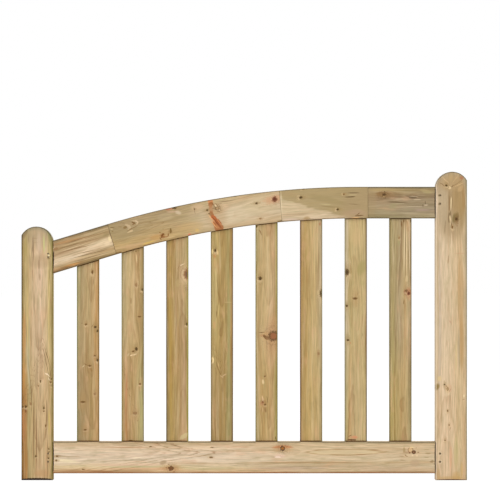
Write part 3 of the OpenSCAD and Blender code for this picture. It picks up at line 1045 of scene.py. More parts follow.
# %% Wood of the tall stile
dress(pieces["tall_stile"], wood(
    "tall stile pine", tall_middle, 0.0, half_w,
    foot=[(-46, 0xd0b692), (-42, 0xd6bc9a), (-36, 0xd8bd9a), (-20, 0xdcc19e), (-6, 0xd7ba96),
          (10, 0xd5b992), (20, 0xceb48a), (34, 0xd3b68d), (41, 0xceb48e), (46, 0xa4926e)],
    head=[(-46, 0xe2ccac), (-42, 0xd0ba9e), (-36, 0xd0b89a), (-22, 0xd5bd9c), (-8, 0xd2ba98),
          (1, 0xceb591), (10, 0xd0b58f), (24, 0xccb088), (36, 0xc8af8a), (46, 0xa09478)],
    change=(200, 500), pith=(-14, 60), ring=3.4, taper=0.018, seed=4.3, bold=0.75,
    # The first edge colour and the first band of the head are a painted highlight along the inner edge.
    edges=(0xe6d0b0, 0x887850, 0x483824, 0x6e4a1e),
    crown=(0.003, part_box("tall_stile")[1].z - head_radius, 0.4), blue=0.98,
    patches=[(0, 860, 60, 60, 0x987e58, 60), (0, 765, 50, 95, 0xa68c66, 74),
             (34, 820, 7, 50, 0xa07442, 70), (-34, 450, 6, 260, 0xc2b09a, 40),
             (-22, 800, 20, 80, 0xb8a280, 72), (20, 825, 26, 75, 0xa48656, 74),
             (30, 780, 12, 60, 0xa28654, 50), (0, 868, 42, 30, 0xb4966a, 70),
             (0, 886, 6, 20, 0xbca06e, 40, 4), (-16, 876, 1.8, 20, 0xd8b88a, 60, -42),
             (-22, 862, 1.2, 12, 0x82643c, 80, -50, 40), (11, 878, 1.6, 22, 0xd0ae7c, 50, 36),
             (20, 868, 1.4, 22, 0x8c6c42, 50, 56, 40), (22, 862, 1.4, 18, 0xd6b482, 70, 66),
             (30, 882, 8, 7, 0xb27652, 80), (26, 850, 8, 14, 0xceaa7a, 40, 40),
             (-4, 853, 4, 5, 0xdec292, 90, 0, 50), (-10, 856, 1.4, 7, 0x604424, 90, -60, 40),
             (3, 858, 1.4, 6, 0x745430, 80, 50, 40), (0, 808, 1.4, 22, 0xe4ca9c, 100, 0, 50),
             (3, 806, 1.2, 26, 0x806038, 90, 0, 40), (-3, 806, 1.2, 26, 0x8c6c42, 70, 0, 40),
             (-2, 768, 5, 20, 0x7a623e, 70, 4, 40), (-1, 758, 2.2, 18, 0xdec496, 95, -6, 40),
             (3, 745, 1.3, 16, 0x6c502e, 90, -16, 40), (13, 766, 8.5, 19, 0x7c6a3a, 85, 12),
             (-17, 740, 3, 24, 0x947c58, 60, 8), (-8, 690, 1.6, 60, 0xb89870, 50, -1),
             (1, 690, 1.6, 40, 0xecd2ae, 80, 2), (-7, 645, 1.3, 16, 0x92704a, 80, 6, 40),
             (25, 662, 18, 1.4, 0xc49070, 50), (-2, 570, 1.6, 30, 0xead2ae, 70),
             (27, 540, 9.5, 150, 0xc09c6c, 70), (-39, 500, 2, 300, 0xbea478, 50),
             (28, 400, 9, 100, 0xba9460, 80), (21, 380, 3.4, 80, 0xb0a284, 60),
             (14, 360, 1.4, 60, 0xe0ca8a, 70), (-4, 460, 1.6, 12, 0xbe9478, 70, -20),
             (-14, 400, 2.6, 12, 0xbea07c, 60), (-40, 272, 8.5, 14, 0x927842, 100, 20),
             (-33, 296, 6, 10, 0xdec28c, 70), (-10, 268, 9, 16, 0xd4a884, 60),
             (-14, 272, 1.3, 7, 0x966442, 90, -20, 40), (-8, 262, 1.3, 6, 0xa0704e, 80, 30, 40),
             (35.5, 246, 2.6, 6, 0xe8d2a8, 80), (34, 236, 1.3, 4, 0xa07a52, 70, 80, 40),
             (-5, 150, 1.3, 7, 0x96704c, 70, 20, 40), (-20, 114, 4, 3, 0xe8cea8, 60),
             (13, 85, 8.5, 60, 0xc4b47e, 60), (-2, 60, 4, 50, 0xdaa882, 70),
             (30, 30, 6, 30, 0xc8a054, 40), (-36, 14, 7, 26, 0xbe9250, 40),
             (14, 10, 16, 20, 0xc69c50, 40), (0, 6, 48, 8, 0xc6a064, 50),
             (0, 0.5, 48, 3.4, 0x704e22, 110, 0, 60), (-32, 78, 7, 7, 0xe8d0ac, 80),
             (-32, 54, 7, 7, 0xe8d0ac, 80), (-32, 78, 4.2, 4.2, 0x8c6a42, 80, 0, 40),
             (-32, 54, 4.2, 4.2, 0x8c6a42, 80, 0, 40), (-32, 831, 4.2, 4.2, 0x7e6842, 80, 0, 40),
             (-31, 806, 5, 4.6, 0x7e6842, 80, 0, 40)],
    knots=[(-14.5, 860, 2.6, 1, "dark"), (15, 762, 3.6, 1.2, "wing"), (3, 738, 1.8, 1.8, "brown"),
           (-19.5, 279, 2.2, 0.9, "dark"), (-10.5, 266, 3, 1.2, "pale"), (-10.5, 202, 1.8, 1.2, "brown"),
           (-6.5, 161, 1.4, 1.2, "brown"), (-18.5, 116, 1.6, 1.2, "brown")]))

# %% [markdown]
# ### Wood of the rails
#
# The boards of the rails lie on their sides, so across them means down from the middle line. The two swept
# timbers were sawn from straight boards: their grain stays straight while the sawn edge curves away from
# it. Where a rail butts on a stile, a dark line of painted shade marks the joint.

# %% Middle lines of the rails
foot_middle = mortise_z["bottom"] * Z
level_middle = mortise_z["tall"] * Z
slope_middle = on_sweep(sweep_angle, rail_w / 2)
sweep_middle = on_sweep((sweep_angle + crest_angle) / 2, rail_w / 2)
crest_middle = on_sweep(crest_angle / 2, rail_w / 2)
quarter = math.pi / 2
sweep_turn = quarter - (sweep_angle + crest_angle) / 2
slope_end = (low_face - slope_middle.x) / math.cos(sweep_angle)
RESIN = 0xb46434
print("swept timber turned by", round(math.degrees(sweep_turn), 2), "degrees")

# %% Wood of the lower rail
dress(pieces["bottom_rail"], wood(
    "lower rail pine", foot_middle, quarter, half_w,
    foot=[(-46, 0x9c8e6e), (-41, 0xc6ae88), (-34, 0xd4b894), (-26, 0xdcc4a3), (-10, 0xdec8ac),
          (8, 0xe2ceb2), (18, 0xdec8a8), (26, 0xd6c298), (36, 0xd8b88c), (46, 0xa07046)],
    head=[(-46, 0x9c8c6a), (-40, 0xcab18a), (-32, 0xd5bc96), (-18, 0xd4bb96), (-6, 0xd6bf9c),
          (6, 0xd5c09d), (14, 0xccb48d), (26, 0xcbb694), (37, 0xd0b690), (46, 0x987048)],
    change=(-100, 200), pith=(-16, 50), ring=3, taper=0.016, seed=7.9, bold=0.8, bright=1.02,
    edges=(0x847658, 0x966438), pales_at=-1,
    nests=[(-13, -88, 6, 44, 260, 75)],
    patches=[(-17, 293, 9.2, 126, 0xae8a5c, 90, 0, 70), (-17, 293, 7.2, 117, 0xd8c198, 95, 0, 70),
             (-8, 490, 24, 34, 0xd6b88e, 40), (16, 498, 13, 18, 0xc0a482, 70),
             (-21.5, 485, 9.1, 9, 0x92643e, 80, 0, 60), (-21.5, 485, 7, 6.8, 0xdebc8c, 90, 0, 50),
             (-29.5, 488, 2.3, 8.1, 0xf0d49e, 90), (-14.7, 494.6, 7, 7.5, 0x623c20, 100, 0, 40),
             (-14.7, 494.6, 2.3, 2.5, 0xb6906a, 90, 0, 40), (-13.8, 507.5, 2.9, 3.7, 0x926c48, 80, 0, 40),
             (-27.2, 501.7, 1.8, 2.5, 0x966e46, 80, 20, 40), (-14.8, 473, 1.4, 12.5, 0x8a5e3a, 90, 0, 40),
             (-12.2, 482.4, 2.6, 3, 0x805030, 90, 0, 40), (-22, 466.5, 4.4, 11.9, 0xac8e5c, 70, 88),
             (-5.5, 473.2, 1.6, 6.3, 0x967448, 80, 25, 40), (-3.8, 460, 1.6, 10, 0xa48456, 70, 8),
             (7.5, 462, 1.6, 10, 0xa28458, 70, 5), (-6.3, 490.8, 2.3, 3.7, 0xeacea8, 90),
             (-5.5, 503.8, 2.3, 3.2, 0xeacea8, 90), (30, -224, 1.6, 7, 0x6e4824, 100, 0, 40),
             (24, -220, 1.4, 4, 0x78502a, 90, 40, 40), (36, -206, 1.4, 5, 0x8c5c32, 90, -30, 40),
             (10, -520, 5, 40, 0xeedcb4, 80, 4), (-1, -515, 1.2, 45, 0x967448, 70, 2, 40),
             (22, -330, 5, 140, 0xe0ba9e, 50), (26, -330, 3, 120, 0xc4be8c, 50),
             (32, -300, 3, 160, 0xdeaa82, 50), (30, -120, 5, 90, 0xbeb284, 50),
             (17, -236, 8, 14, 0xaa8e6a, 70, -20), (1, -310, 2.2, 24, 0xf2e2c0, 90),
             (-1, -180, 1.6, 50, 0xecd6b6, 70, -4), (-30, -345, 1.4, 100, 0xbe845c, 60),
             (-28, -200, 1.2, 70, 0xba885c, 50), (-36, -470, 1.4, 80, 0xba9670, 50),
             (-30, -20, 1.2, 50, 0xbe7c54, 70), (-28, 112, 2, 36, 0xc47446, 90),
             (-8, 104, 7.5, 20, 0xe6c4ac, 70), (-5, 98, 2.6, 10, 0xf6dec8, 90, 0, 50),
             (30, 120, 6, 150, 0xc0a48c, 45), (33, 420, 4, 120, 0xc6a888, 40),
             (14.5, 200, 1.2, 200, 0xa88656, 90), (13, 430, 1.2, 40, 0xa07e4e, 80),
             (-22.2, 531.8, 1.3, 11, 0xa48a5c, 80, -3), (-10.5, 536, 2.2, 11, 0xa68c5e, 70),
             (-0.4, 531.8, 1.6, 8, 0xa88e62, 70, 4), (7.9, 548.6, 1, 7, 0x745428, 90, 0, 40),
             (14.2, 546.9, 1, 8, 0x7c5e32, 80, 0, 40), (42.5, 0, 2.6, 560, 0xa0683a, 100),
             # The last two patches are dark lines of painted shade where the rail butts on the stiles.
             (0, -557.5, 60, 3, JOINT_SHADE, 100, 0, 40), (0, 557.5, 60, 2.8, 0x402a12, 100, 0, 40)],
    knots=[(-1, -97, 1.8, 2.2, "brown"), (31, -213.5, 5.6, 1.1, "amber"), (-27, 112, 5.4, 1.05, "ring"),
           (-32, -273, 1.2, 3, "brown"), (-4, -546, 2, 1.3, "brown"), (8, -548, 2, 1.3, "brown"),
           (34, -470, 1.4, 2.4, "brown"), (-30, -94, 1, 4, "brown")]))

# %% Wood of the straight timber on the slope
dress(pieces["top_rail_low"], wood(
    "slope rail pine", slope_middle, quarter - sweep_angle, half_w,
    foot=[(-46, 0x7a6c50), (-38, 0xa48a62), (-22, 0xa88a60), (-8, 0xb29670), (6, 0xc4aa86),
          (18, 0xd6be9c), (27, 0xceb490), (33, 0xb2966a), (40, 0xa8865a), (46, 0x806842)],
    head=[(-46, 0x7a6c50), (-36, 0xa88e62), (-20, 0xae9268), (-10, 0xc4aa82), (2, 0xdcc4a0),
          (12, 0xd0b692), (22, 0xba9e74), (34, 0xb29666), (46, 0x806a44)],
    change=(-150, -30), pith=(4, 70), ring=3, taper=0.02, seed=11.2, pales_at=1,
    edges=(0x685a42, 0x705c3a),
    patches=[(4, -22, 14, 30, 0xe0c8a0, 55), (-2, -6, 9, 6, 0xeed6a4, 80), (6, -16, 6, 12, 0xead0aa, 80),
             (-18, -12, 11, 12, 0x9a8458, 50), (39, -132, 4, 30, 0xca9252, 70, 3),
             (-31, -120, 4, 60, 0xbe8c5a, 50, 2), (16, -130, 5, 50, 0xe0caaa, 55, 3),
             (3, -65, 4.5, 60, 0xdec6a2, 50, 4), (12, -100, 1, 75, 0x84643e, 100, 5),
             (21.5, -80, 1.1, 75, 0x80623c, 100, 3), (32, -80, 1.2, 70, 0x80603a, 90, 1),
             (-4, -105, 1, 65, 0x846640, 100, 3), (-16, -90, 1.1, 75, 0x866842, 90, 1),
             (-28, -80, 1.2, 70, 0x846842, 90, -1), (-10, -110, 1, 50, 0xdec69e, 90, 2),
             (8, -120, 1, 50, 0xe4ceaa, 90, 4), (26.5, -90, 1.1, 60, 0xd6ba8e, 80, 2),
             (-22, -100, 1.1, 60, 0xceb488, 70),
             # The first patch here is the dark line of painted shade where the rail butts on the low stile.
             (0, slope_end * 1000, 60, 3.4, JOINT_SHADE, 100, math.degrees(sweep_angle), 40),
             (-12, 0, 26, 1.6, 0x604826, 100, 0, 40), (0, 0, 60, 1.2, 0x6e5432, 70, 0, 40)],
    knots=[(-20, -165, 3, 1.6, "faint")]))

# %% Wood of the long swept timber
dress(pieces["top_rail_sweep"], wood(
    "swept rail pine", sweep_middle, sweep_turn, half_w + 0.01,
    foot=[(-56, 0x928260), (-40, 0xaa926a), (-24, 0xae966e), (-8, 0xae966a), (8, 0xb49a6c),
          (22, 0xb89c6a), (36, 0xc0a26e), (56, 0xac8e5e)],
    head=[(-56, 0x9c8868), (-36, 0xc0a87c), (-22, 0xc8ae86), (-8, 0xd0ba98), (8, 0xd2bd9b),
          (24, 0xd0ba98), (36, 0xceb48e), (56, 0xbca37a)],
    change=(-80, 80), pith=(10, 40), ring=3.4, taper=-0.02, seed=15.6, bold=0.6, bright=0.965, pales_at=1,
    edges=(0x685c44, 0x705834),
    nests=[(-22, -168, 4, 14, 60, 40), (-4, -100, 5, 30, 100, 40)],
    patches=[(-6, -215, 40, 60, 0x9e8a62, 55), (-20, -200, 16, 34, 0xa88e68, 50),
             (-15.8, -197.6, 4.1, 11.4, 0xc4aa84, 80, 33, 40), (-8.5, -195, 4.3, 7.8, 0xc2a880, 70, -34),
             (-26.5, -178.8, 2.2, 7.8, 0xc8ae86, 80, 11, 40),
             (-22.9, -170, 2.7, 6.6, 0xceb490, 90, 35, 40),
             (-17.4, -168.8, 2.7, 6, 0xccb28a, 90, -50, 40), (-21, -180, 3, 7.2, 0x7c5c34, 100, 34, 40),
             (-16.8, -180, 2.4, 6, 0x826038, 100, -20, 40),
             (-6.8, -186.8, 1.6, 20.4, 0x8a6c42, 100, -20, 40),
             (0.9, -194.8, 2.4, 10.8, 0xceb286, 90, -12, 40), (-12.9, -206.4, 3.2, 7.8, 0x866a3e, 90, -4),
             (-16.4, -220.2, 1.9, 7.2, 0x8a7046, 90, 11), (-18.5, -243.3, 1.8, 7.8, 0x82663c, 90, 11),
             (-9.4, -244.3, 2.4, 4.1, 0x7e6436, 90, 30), (-15.2, -247, 1.9, 6, 0xc4ac80, 80, 11),
             (-27, -215, 1.9, 13.2, 0x8c7652, 70, 14), (-34, -140, 1.2, 16, 0x826844, 50),
             (41, -146, 4, 26, 0xd4b25c, 80, -8), (31, -124, 10, 22, 0xbe9256, 60),
             (22, -94, 12, 13, 0xb69466, 50), (30, -104, 8.5, 10.5, 0x9e703e, 75),
             (23, -80, 8, 9, 0x9c784a, 60), (26.9, -101.5, 3.4, 4.2, 0x6a3e14, 100, 0, 40),
             (30, -104.6, 3.4, 7.2, 0x784a1c, 100, -45, 40), (33.3, -101.9, 1.8, 7, 0x926034, 90, 11, 40),
             (33.8, -92.6, 1.7, 7, 0xa47446, 80, -6, 40), (31, -87, 2.1, 4.7, 0x845c2e, 90, -60, 40),
             (21.7, -77.9, 3.4, 8.8, 0x7e6030, 100, -79, 40), (19.8, -109.5, 2, 3, 0x926836, 90, 20, 40),
             (10.9, -98.4, 2, 2.2, 0x947a4c, 70, 0, 40), (37, -111, 2, 4.5, 0x885c2e, 90, 60, 40),
             (38, -80, 3.4, 15, 0xd2b482, 60), (-20, -85, 14, 30, 0xc0aa84, 40),
             (34, -2, 7, 8, 0xd8b468, 70), (42, -26, 3.8, 6, 0xce7454, 90),
             (20, -20, 18, 50, 0xc4a066, 40), (-40, -68, 4.8, 16, 0xc46e56, 90, -2),
             (-31, -62, 3, 20, 0xdcb496, 50, 6), (-25, -46, 7, 12, 0xdec8aa, 50, 30),
             (-28, 12, 10, 24, 0xd6b48e, 45), (-20, 1.5, 1, 12, 0x826442, 70, 88),
             (-28, 100, 1.3, 30, 0x785c38, 70, 2), (-12, 60, 14, 30, 0xc0a070, 50),
             (10, 130, 26, 60, 0xd6c29e, 45), (0, 200, 30, 70, 0xceb88e, 40),
             (-37, 52, 8.5, 14, 0xc88452, 100, 88, 50), (-27, 52, 8.5, 9, 0x9e6638, 100, 80, 50),
             (5, 60, 40, 40, 0xac8454, 35), (-17, 50, 6.5, 12, 0xb07a4e, 80, 80, 40),
             (-4, 49, 7, 11, 0xa06a3c, 90, 70, 40), (9, 53.5, 8.5, 15, RESIN, 100, 66, 50),
             (25, 59.5, 13, 18, 0xa25c2e, 100, 66, 50), (39, 62.5, 15, 16, 0xa66a3c, 100, 70, 50),
             (6, 45, 1.6, 16, 0xe2ae74, 90, 62, 40), (26, 50, 1.8, 18, 0xdea268, 85, 62, 40),
             (13, 50, 3, 14, 0xce9260, 60, 64), (34, 59, 3, 12, 0xc88654, 60, 66),
             (15, 55, 1.6, 18, 0x804222, 90, 64, 40), (31, 64, 2, 14, 0x8c4626, 85, 66, 40),
             (22, 66, 1.4, 14, 0xd69260, 70, 62, 40), (-23, 59, 1.2, 9, 0x6c4c2a, 80, 70, 40),
             (-15, 62, 1.2, 8, 0x70502c, 80, 10, 40), (-21, 69, 1.2, 8, 0x70502c, 80, 60, 40),
             (-10, 68, 1.2, 7, 0x745430, 80, 20, 40), (-16, 76, 1.2, 9, 0x745430, 75, 70, 40),
             (-24, 80, 1.2, 6, 0x7a5c38, 65, 10, 40), (-18, 66, 1.6, 6, 0xeed4a8, 85, 60, 40),
             (-13, 72, 1.4, 6, 0xeed4a8, 80, 60, 40), (-20, -255.3, 26, 1.8, 0x5c4626, 100, 0, 40),
             (0, -255.3, 60, 1.2, 0x6e5432, 70, 0, 40)],
    knots=[(-43, -54, 3.6, 1.5, "dark"), (-27.6, 1.6, 1.6, 1.2, "dark"), (-17.2, 37.7, 2.2, 1.3, "dark"),
           (-6.1, 41.5, 1.4, 1.2, "dark"), (-17, 68, 4, 1.3, "curl"), (-9.6, 182.9, 2.4, 1.2, "dark"),
           (37.2, 185.3, 2.2, 1.3, "faint"), (-10.9, 237.2, 6.6, 1, "red"), (-43, 124.5, 1.8, 1.8, "dark")]))

# %% Wood of the short swept timber
dress(pieces["top_rail_crest"], wood(
    "crest rail pine", crest_middle, quarter - crest_angle / 2, half_w + 0.004,
    foot=[(-50, 0xb09c76), (-36, 0xc8b088), (-24, 0xccb68e), (-14, 0xceb892), (2, 0xd0ba94),
          (20, 0xceb892), (36, 0xceb694), (50, 0xbca686)],
    head=[(-50, 0xa08e68), (-36, 0xb09a70), (-22, 0xb49e74), (-6, 0xbea87e), (10, 0xc2ac82),
          (22, 0xcab28a), (34, 0xccb692), (50, 0xac9470)],
    change=(20, 100), pith=(30, 50), ring=3.2, taper=0.02, seed=19.1, bold=0.6, bright=0.945, pales_at=1,
    edges=(0x686046, 0x76623e),
    patches=[(-48, -14, 60, 270, 0xa69063, 82, 18, 86), (10, 130, 60, 85, 0xa78f67, 75, 0, 30),
             (32, 100, 14, 50, 0xb29470, 60), (-10, 20, 12, 70, 0x9c885a, 50, 14),
             (-30, -90, 10, 35, 0xb09468, 40, 6), (12, 30, 2.4, 36, 0x8e784c, 60, 10),
             (3, 16, 1.6, 20, 0xc4b282, 60, 6), (38, -40, 8, 12, 0xaa8858, 70),
             (42, 30, 3.6, 30, 0xd2b484, 60), (40, -85, 4, 30, 0xdec2ac, 50),
             (-25, 100, 1.3, 18, 0x604a2a, 85, 0, 40), (-15, 88, 1.3, 18, 0x644e2c, 85, 0, 40),
             (-20, 96, 1.6, 16, 0xc4ae80, 60), (6, 100, 1.3, 20, 0x785e3c, 50, 6),
             (27, 104, 8, 26, 0xb29474, 50), (38, 112, 2, 14, 0x705028, 90, 0, 40),
             (33, 108, 1.4, 10, 0x76582e, 80, -30, 40), (43, 100, 3, 16, 0xdeb076, 80),
             (-3, -113, 42, 2.6, 0xdac6a0, 60, 0, 40)],
    knots=[(-20, -55.6, 3.2, 1.4, "dark"), (19.6, 50, 2.6, 1.2, "dark"), (-23.9, 70, 1.8, 1.5, "brown"),
           (-44, -48, 1.4, 2.4, "brown")]))

# %% Wood of the level timber
dress(pieces["top_rail_tall"], wood(
    "level rail pine", level_middle, quarter, half_w,
    foot=[(-46, 0x74684e), (-38, 0xac9468), (-26, 0xa4885e), (-14, 0x9e8462), (-4, 0xa68e6c),
          (6, 0xac9674), (18, 0xa69470), (34, 0xa69572), (46, 0x847856)],
    head=[(-46, 0x70644a), (-38, 0xaa946a), (-26, 0x98825e), (-14, 0x927c5e), (-2, 0x9e8a6a),
          (8, 0xa08e6e), (20, 0xa49176), (36, 0xa49270), (46, 0x847858)],
    change=(400, 500), pith=(-20, 50), ring=3, taper=0.016, seed=23.4, bold=0.75, bright=0.92, blue=0.98,
    pales_at=1, edges=(0x625a44, 0x685c3c),
    patches=[(0, 370, 60, 20, 0xa48c64, 50), (-24, 402, 8, 22, 0x8a683e, 80),
             (-20, 420, 5, 30, 0x846842, 60), (-24, 412, 1.6, 4, 0x56381a, 90, 60, 40),
             (-18, 408, 1.6, 5, 0xceb27e, 90, 70, 40), (-15, 410, 1.4, 4, 0x5c4020, 80, 10, 40),
             (-29, 409, 1.4, 4, 0x5c4020, 80, 80, 40), (-15.5, 492, 1.5, 14, 0x523e24, 100, 0, 40),
             (-20, 500, 1.3, 10, 0x5c482c, 90, 0, 40), (-19.5, 480, 1.3, 14, 0x5c482c, 80, 2, 40),
             (-17, 494, 1.2, 16, 0xd0b896, 80, 0, 40), (-10, 505, 1.4, 14, 0xceb694, 80, 0, 40),
             (-12, 455, 1.2, 20, 0xc8b08c, 70, 0, 40), (-2, 447, 1.5, 34, 0x604c2e, 90, 1, 40),
             (-6, 435, 1.3, 20, 0x685436, 60, 1, 40), (3.5, 450, 1.3, 20, 0xbeac84, 70, 0, 40),
             (11, 500, 1.2, 30, 0xc6ae90, 70, 0, 40), (8, 530, 1.3, 8, 0xd8bea0, 90, 0, 40),
             (0, 528, 1.3, 7, 0x624c34, 80, 88, 40), (9, 521, 1.3, 5, 0x624c34, 70, 80, 40),
             (22, 520, 5, 26, 0xb09484, 50), (20, 480, 5, 30, 0x9a8e68, 40),
             (10, 434, 12, 14, 0x9c9066, 50), (-36, 410, 5, 60, 0xb29864, 50),
             (-33, 530, 4, 24, 0xb8a472, 50, 10), (0, 361.2, 60, 1.2, 0x7a623e, 25, 0, 40),
             # The last patch is the dark line of painted shade where the rail butts on the tall stile.
             (0, 557.5, 60, 3, JOINT_SHADE, 100, 0, 40)],
    knots=[(-23.2, 407.7, 3.6, 1.4, "wing")]))

# %% [markdown]
# ### Wood of the pales
#
# Each pale gets a thin dark line of painted shade where it goes into the rails, which follows the slope
# of the upper rail there.

# %% Helper: wood of one pale


def pale_wood(number, foot, head, edges, patches=(), head_shade=1.3, **more):
    """Wood of one pale, its middle line at its own place, with painted shade where it meets the rails, the
    upper as dark as the number after the patches says.
    """
    low, high = pale_boxes[number - 1]
    middle = (low.x + high.x) / 2 * X
    rise = upper_rail_z(high.x, rail_w) - upper_rail_z(low.x, rail_w)
    lean = -math.degrees(math.atan2(rise, high.x - low.x))
    top = upper_rail_z(middle.x, rail_w)
    # Lines of painted shade where the pale goes into the upper and the lower rail.
    rail_shade_lines = [(0, top * 1000, 60, 2.4, 0x50340e, 100 * head_shade, lean, 60),
             (0, foot_box[1].z * 1000 + 1, 60, 2.2, 0x543612, 120, 0, 60)]
    made = wood(f"pale {number} pine", middle, 0.0, half_p, foot=foot, head=head, change=(250, 450),
                patches=list(patches) + rail_shade_lines, blue=0.95, face=low.y, edges=edges + edges, **more)
    dress(pieces[f"pale_{number}"], made)


# %% Wood of pale 1
pale_wood(
    1,
    foot=[(-32.5, 0x7a7646), (-27, 0x968864), (-14, 0xa68e66), (-2, 0xb2946a), (6, 0xa88c5c),
          (13, 0xb69666), (24, 0xba9464), (32.5, 0xa88e5a)],
    head=[(-32.5, 0x867e4e), (-27, 0xa4986e), (-16, 0xaa926a), (-2, 0xb69c71), (8, 0xbaa074),
          (14, 0xb49668), (22, 0xba925e), (32.5, 0xa68450)],
    pith=(8, 40), taper=-0.016, seed=31.0, bright=1.03, edges=(0x76723e, 0x826436),
    patches=[(9, 480, 1.2, 150, 0x967448, 50), (10, 624, 1.4, 30, 0xd6bc8c, 60, 4),
             (26, 620, 2, 20, 0xb47c44, 60), (16, 590, 1.3, 24, 0xd2b686, 60, -4),
             (23, 520, 4.5, 140, 0xba8e58, 50), (24, 300, 2, 80, 0xc09068, 50),
             (-13, 458, 1.2, 3, 0x80623a, 80, 60), (16, 451, 1.2, 7, 0x8c6c42, 70, 30, 40),
             (1, 337, 1.6, 8, 0x8c6a3e, 90, 118, 40), (10, 323, 2, 9, 0x94703c, 90, -8),
             (-8, 332, 1.6, 6, 0xdcc49a, 90, 50), (9.5, 210, 1.2, 90, 0x967640, 60),
             (26, 290, 5, 70, 0xbc9c5c, 40), (-20, 620, 6, 40, 0xa69668, 30)],
    knots=[(13, 607, 2.6, 1.9, "brown"), (-6, 454, 2.6, 1, "brown"), (21.5, 446.5, 3.4, 0.9, "dark"),
           (28.5, 435, 2.6, 1.2, "dark"), (20, 362.5, 2.6, 0.7, "brown"), (29, 350, 3.2, 1.2, "dark"),
           (5, 333.5, 3.4, 0.7, "brown"), (20, 251, 2.4, 1.2, "faint"),
           (-14.5, 227.7, 6.2, 0.42, "brown"), (-8, 146.5, 3.8, 0.55, "brown")])

# %% Wood of pale 2
pale_wood(
    2,
    foot=[(-32.5, 0x868054), (-26, 0xaa9262), (-17, 0xbc8e62), (-9, 0xb8986a), (6, 0xb49666),
          (13, 0xbaa272), (22, 0xb4a674), (32.5, 0x8c8458)],
    head=[(-32.5, 0x8c7c5c), (-26, 0xae9a72), (-10, 0xbea477), (4, 0xbfa275), (12, 0xb89a6c),
          (20, 0xb29668), (32.5, 0x967e50)],
    pith=(-6, 45), taper=0.016, seed=34.0, bright=1.03, edges=(0x7c7646, 0x7a6c42),
    nests=[(12, 170, 4.5, 20, -50, 50)],
    patches=[(-16.5, 250, 2.6, 80, 0xc2865c, 60), (-16, 150, 4, 40, 0xb48046, 50),
             (24, 190, 6, 75, 0xb2aa72, 60), (13.5, 647, 1.8, 16, 0xe2c896, 100, -2),
             (19, 640, 1.2, 30, 0x927242, 60, 4), (17, 577, 1.6, 12, 0xdcc292, 90, -2),
             (11.5, 667.5, 1.6, 3, 0x745628, 90), (26, 549, 1.6, 8, 0x9c7642, 80, 30),
             (-2, 523, 1.3, 12, 0x907042, 80), (-8, 460, 6, 10, 0xccb280, 50),
             (4.7, 365.5, 2.2, 8, 0xf0d4a6, 110, 62, 40), (-8, 366, 4, 8, 0xd0b88c, 60, 40),
             (30, 368, 3, 18, 0x866c32, 70), (27, 310, 1.2, 55, 0x8c7040, 70),
             (8, 248, 1.2, 52, 0x947442, 60), (14, 240, 1.2, 60, 0xd6be8a, 50),
             (-4, 115.5, 1.6, 8, 0x603e14, 100, 88)],
    knots=[(10.5, 569.5, 2.6, 1.7, "faint"), (29, 556, 3, 1.2, "dark"), (20, 477, 4.2, 0.5, "brown"),
           (10.5, 382.5, 3.6, 1.3, "dark"), (2, 375.5, 3.4, 0.7, "brown"), (21.5, 280, 2.6, 0.9, "brown"),
           (7.6, 195, 4.6, 0.75, "faint")])

# %% Wood of pale 3
pale_wood(
    3,
    foot=[(-32.5, 0x68582c), (-27, 0x988256), (-18, 0xae9052), (-9, 0xb29660), (6, 0xb09262),
          (16, 0xb89870), (25, 0xba9a70), (32.5, 0x9e9450)],
    head=[(-32.5, 0x6a582c), (-26, 0x9c8254), (-18, 0xac8e52), (-6, 0xac8e5c), (4, 0xae8f60),
          (15, 0xb2946a), (25, 0xae9464), (32.5, 0x968a58)],
    pith=(20, 40), taper=0.014, seed=37.0, bright=1.02, edges=(0x584618, 0x968e42),
    patches=[(-18, 350, 7, 240, 0xba984e, 50), (-1, 450, 2.2, 140, 0xc49e7c, 40),
             (21, 330, 3, 200, 0xbe987c, 50), (21, 128, 7.5, 17, 0xd0bc8a, 80, 52, 50),
             (26, 600, 17, 30, 0xd6bc92, 60), (27, 600, 14.5, 24, 0xa07a54, 60, 0, 50),
             (28, 600, 12.5, 20, 0xdec298, 60, 0, 50), (18, 628, 1.6, 10, 0xecd6b0, 90, 58),
             (10, 622, 1.3, 12, 0x8c6c42, 70, 40), (8, 575, 10, 14, 0xbea470, 50),
             (29, 560, 4, 14, 0x967a5a, 70), (14, 720, 1.2, 52, 0x967a54, 50, 1),
             (31, 340, 1.6, 210, 0xaca652, 80), (-8, 250, 1.4, 110, 0x8e703e, 45, 1)],
    knots=[(30.5, 601, 9, 1.45, "heart"), (28.5, 455, 3, 1.2, "dark")])

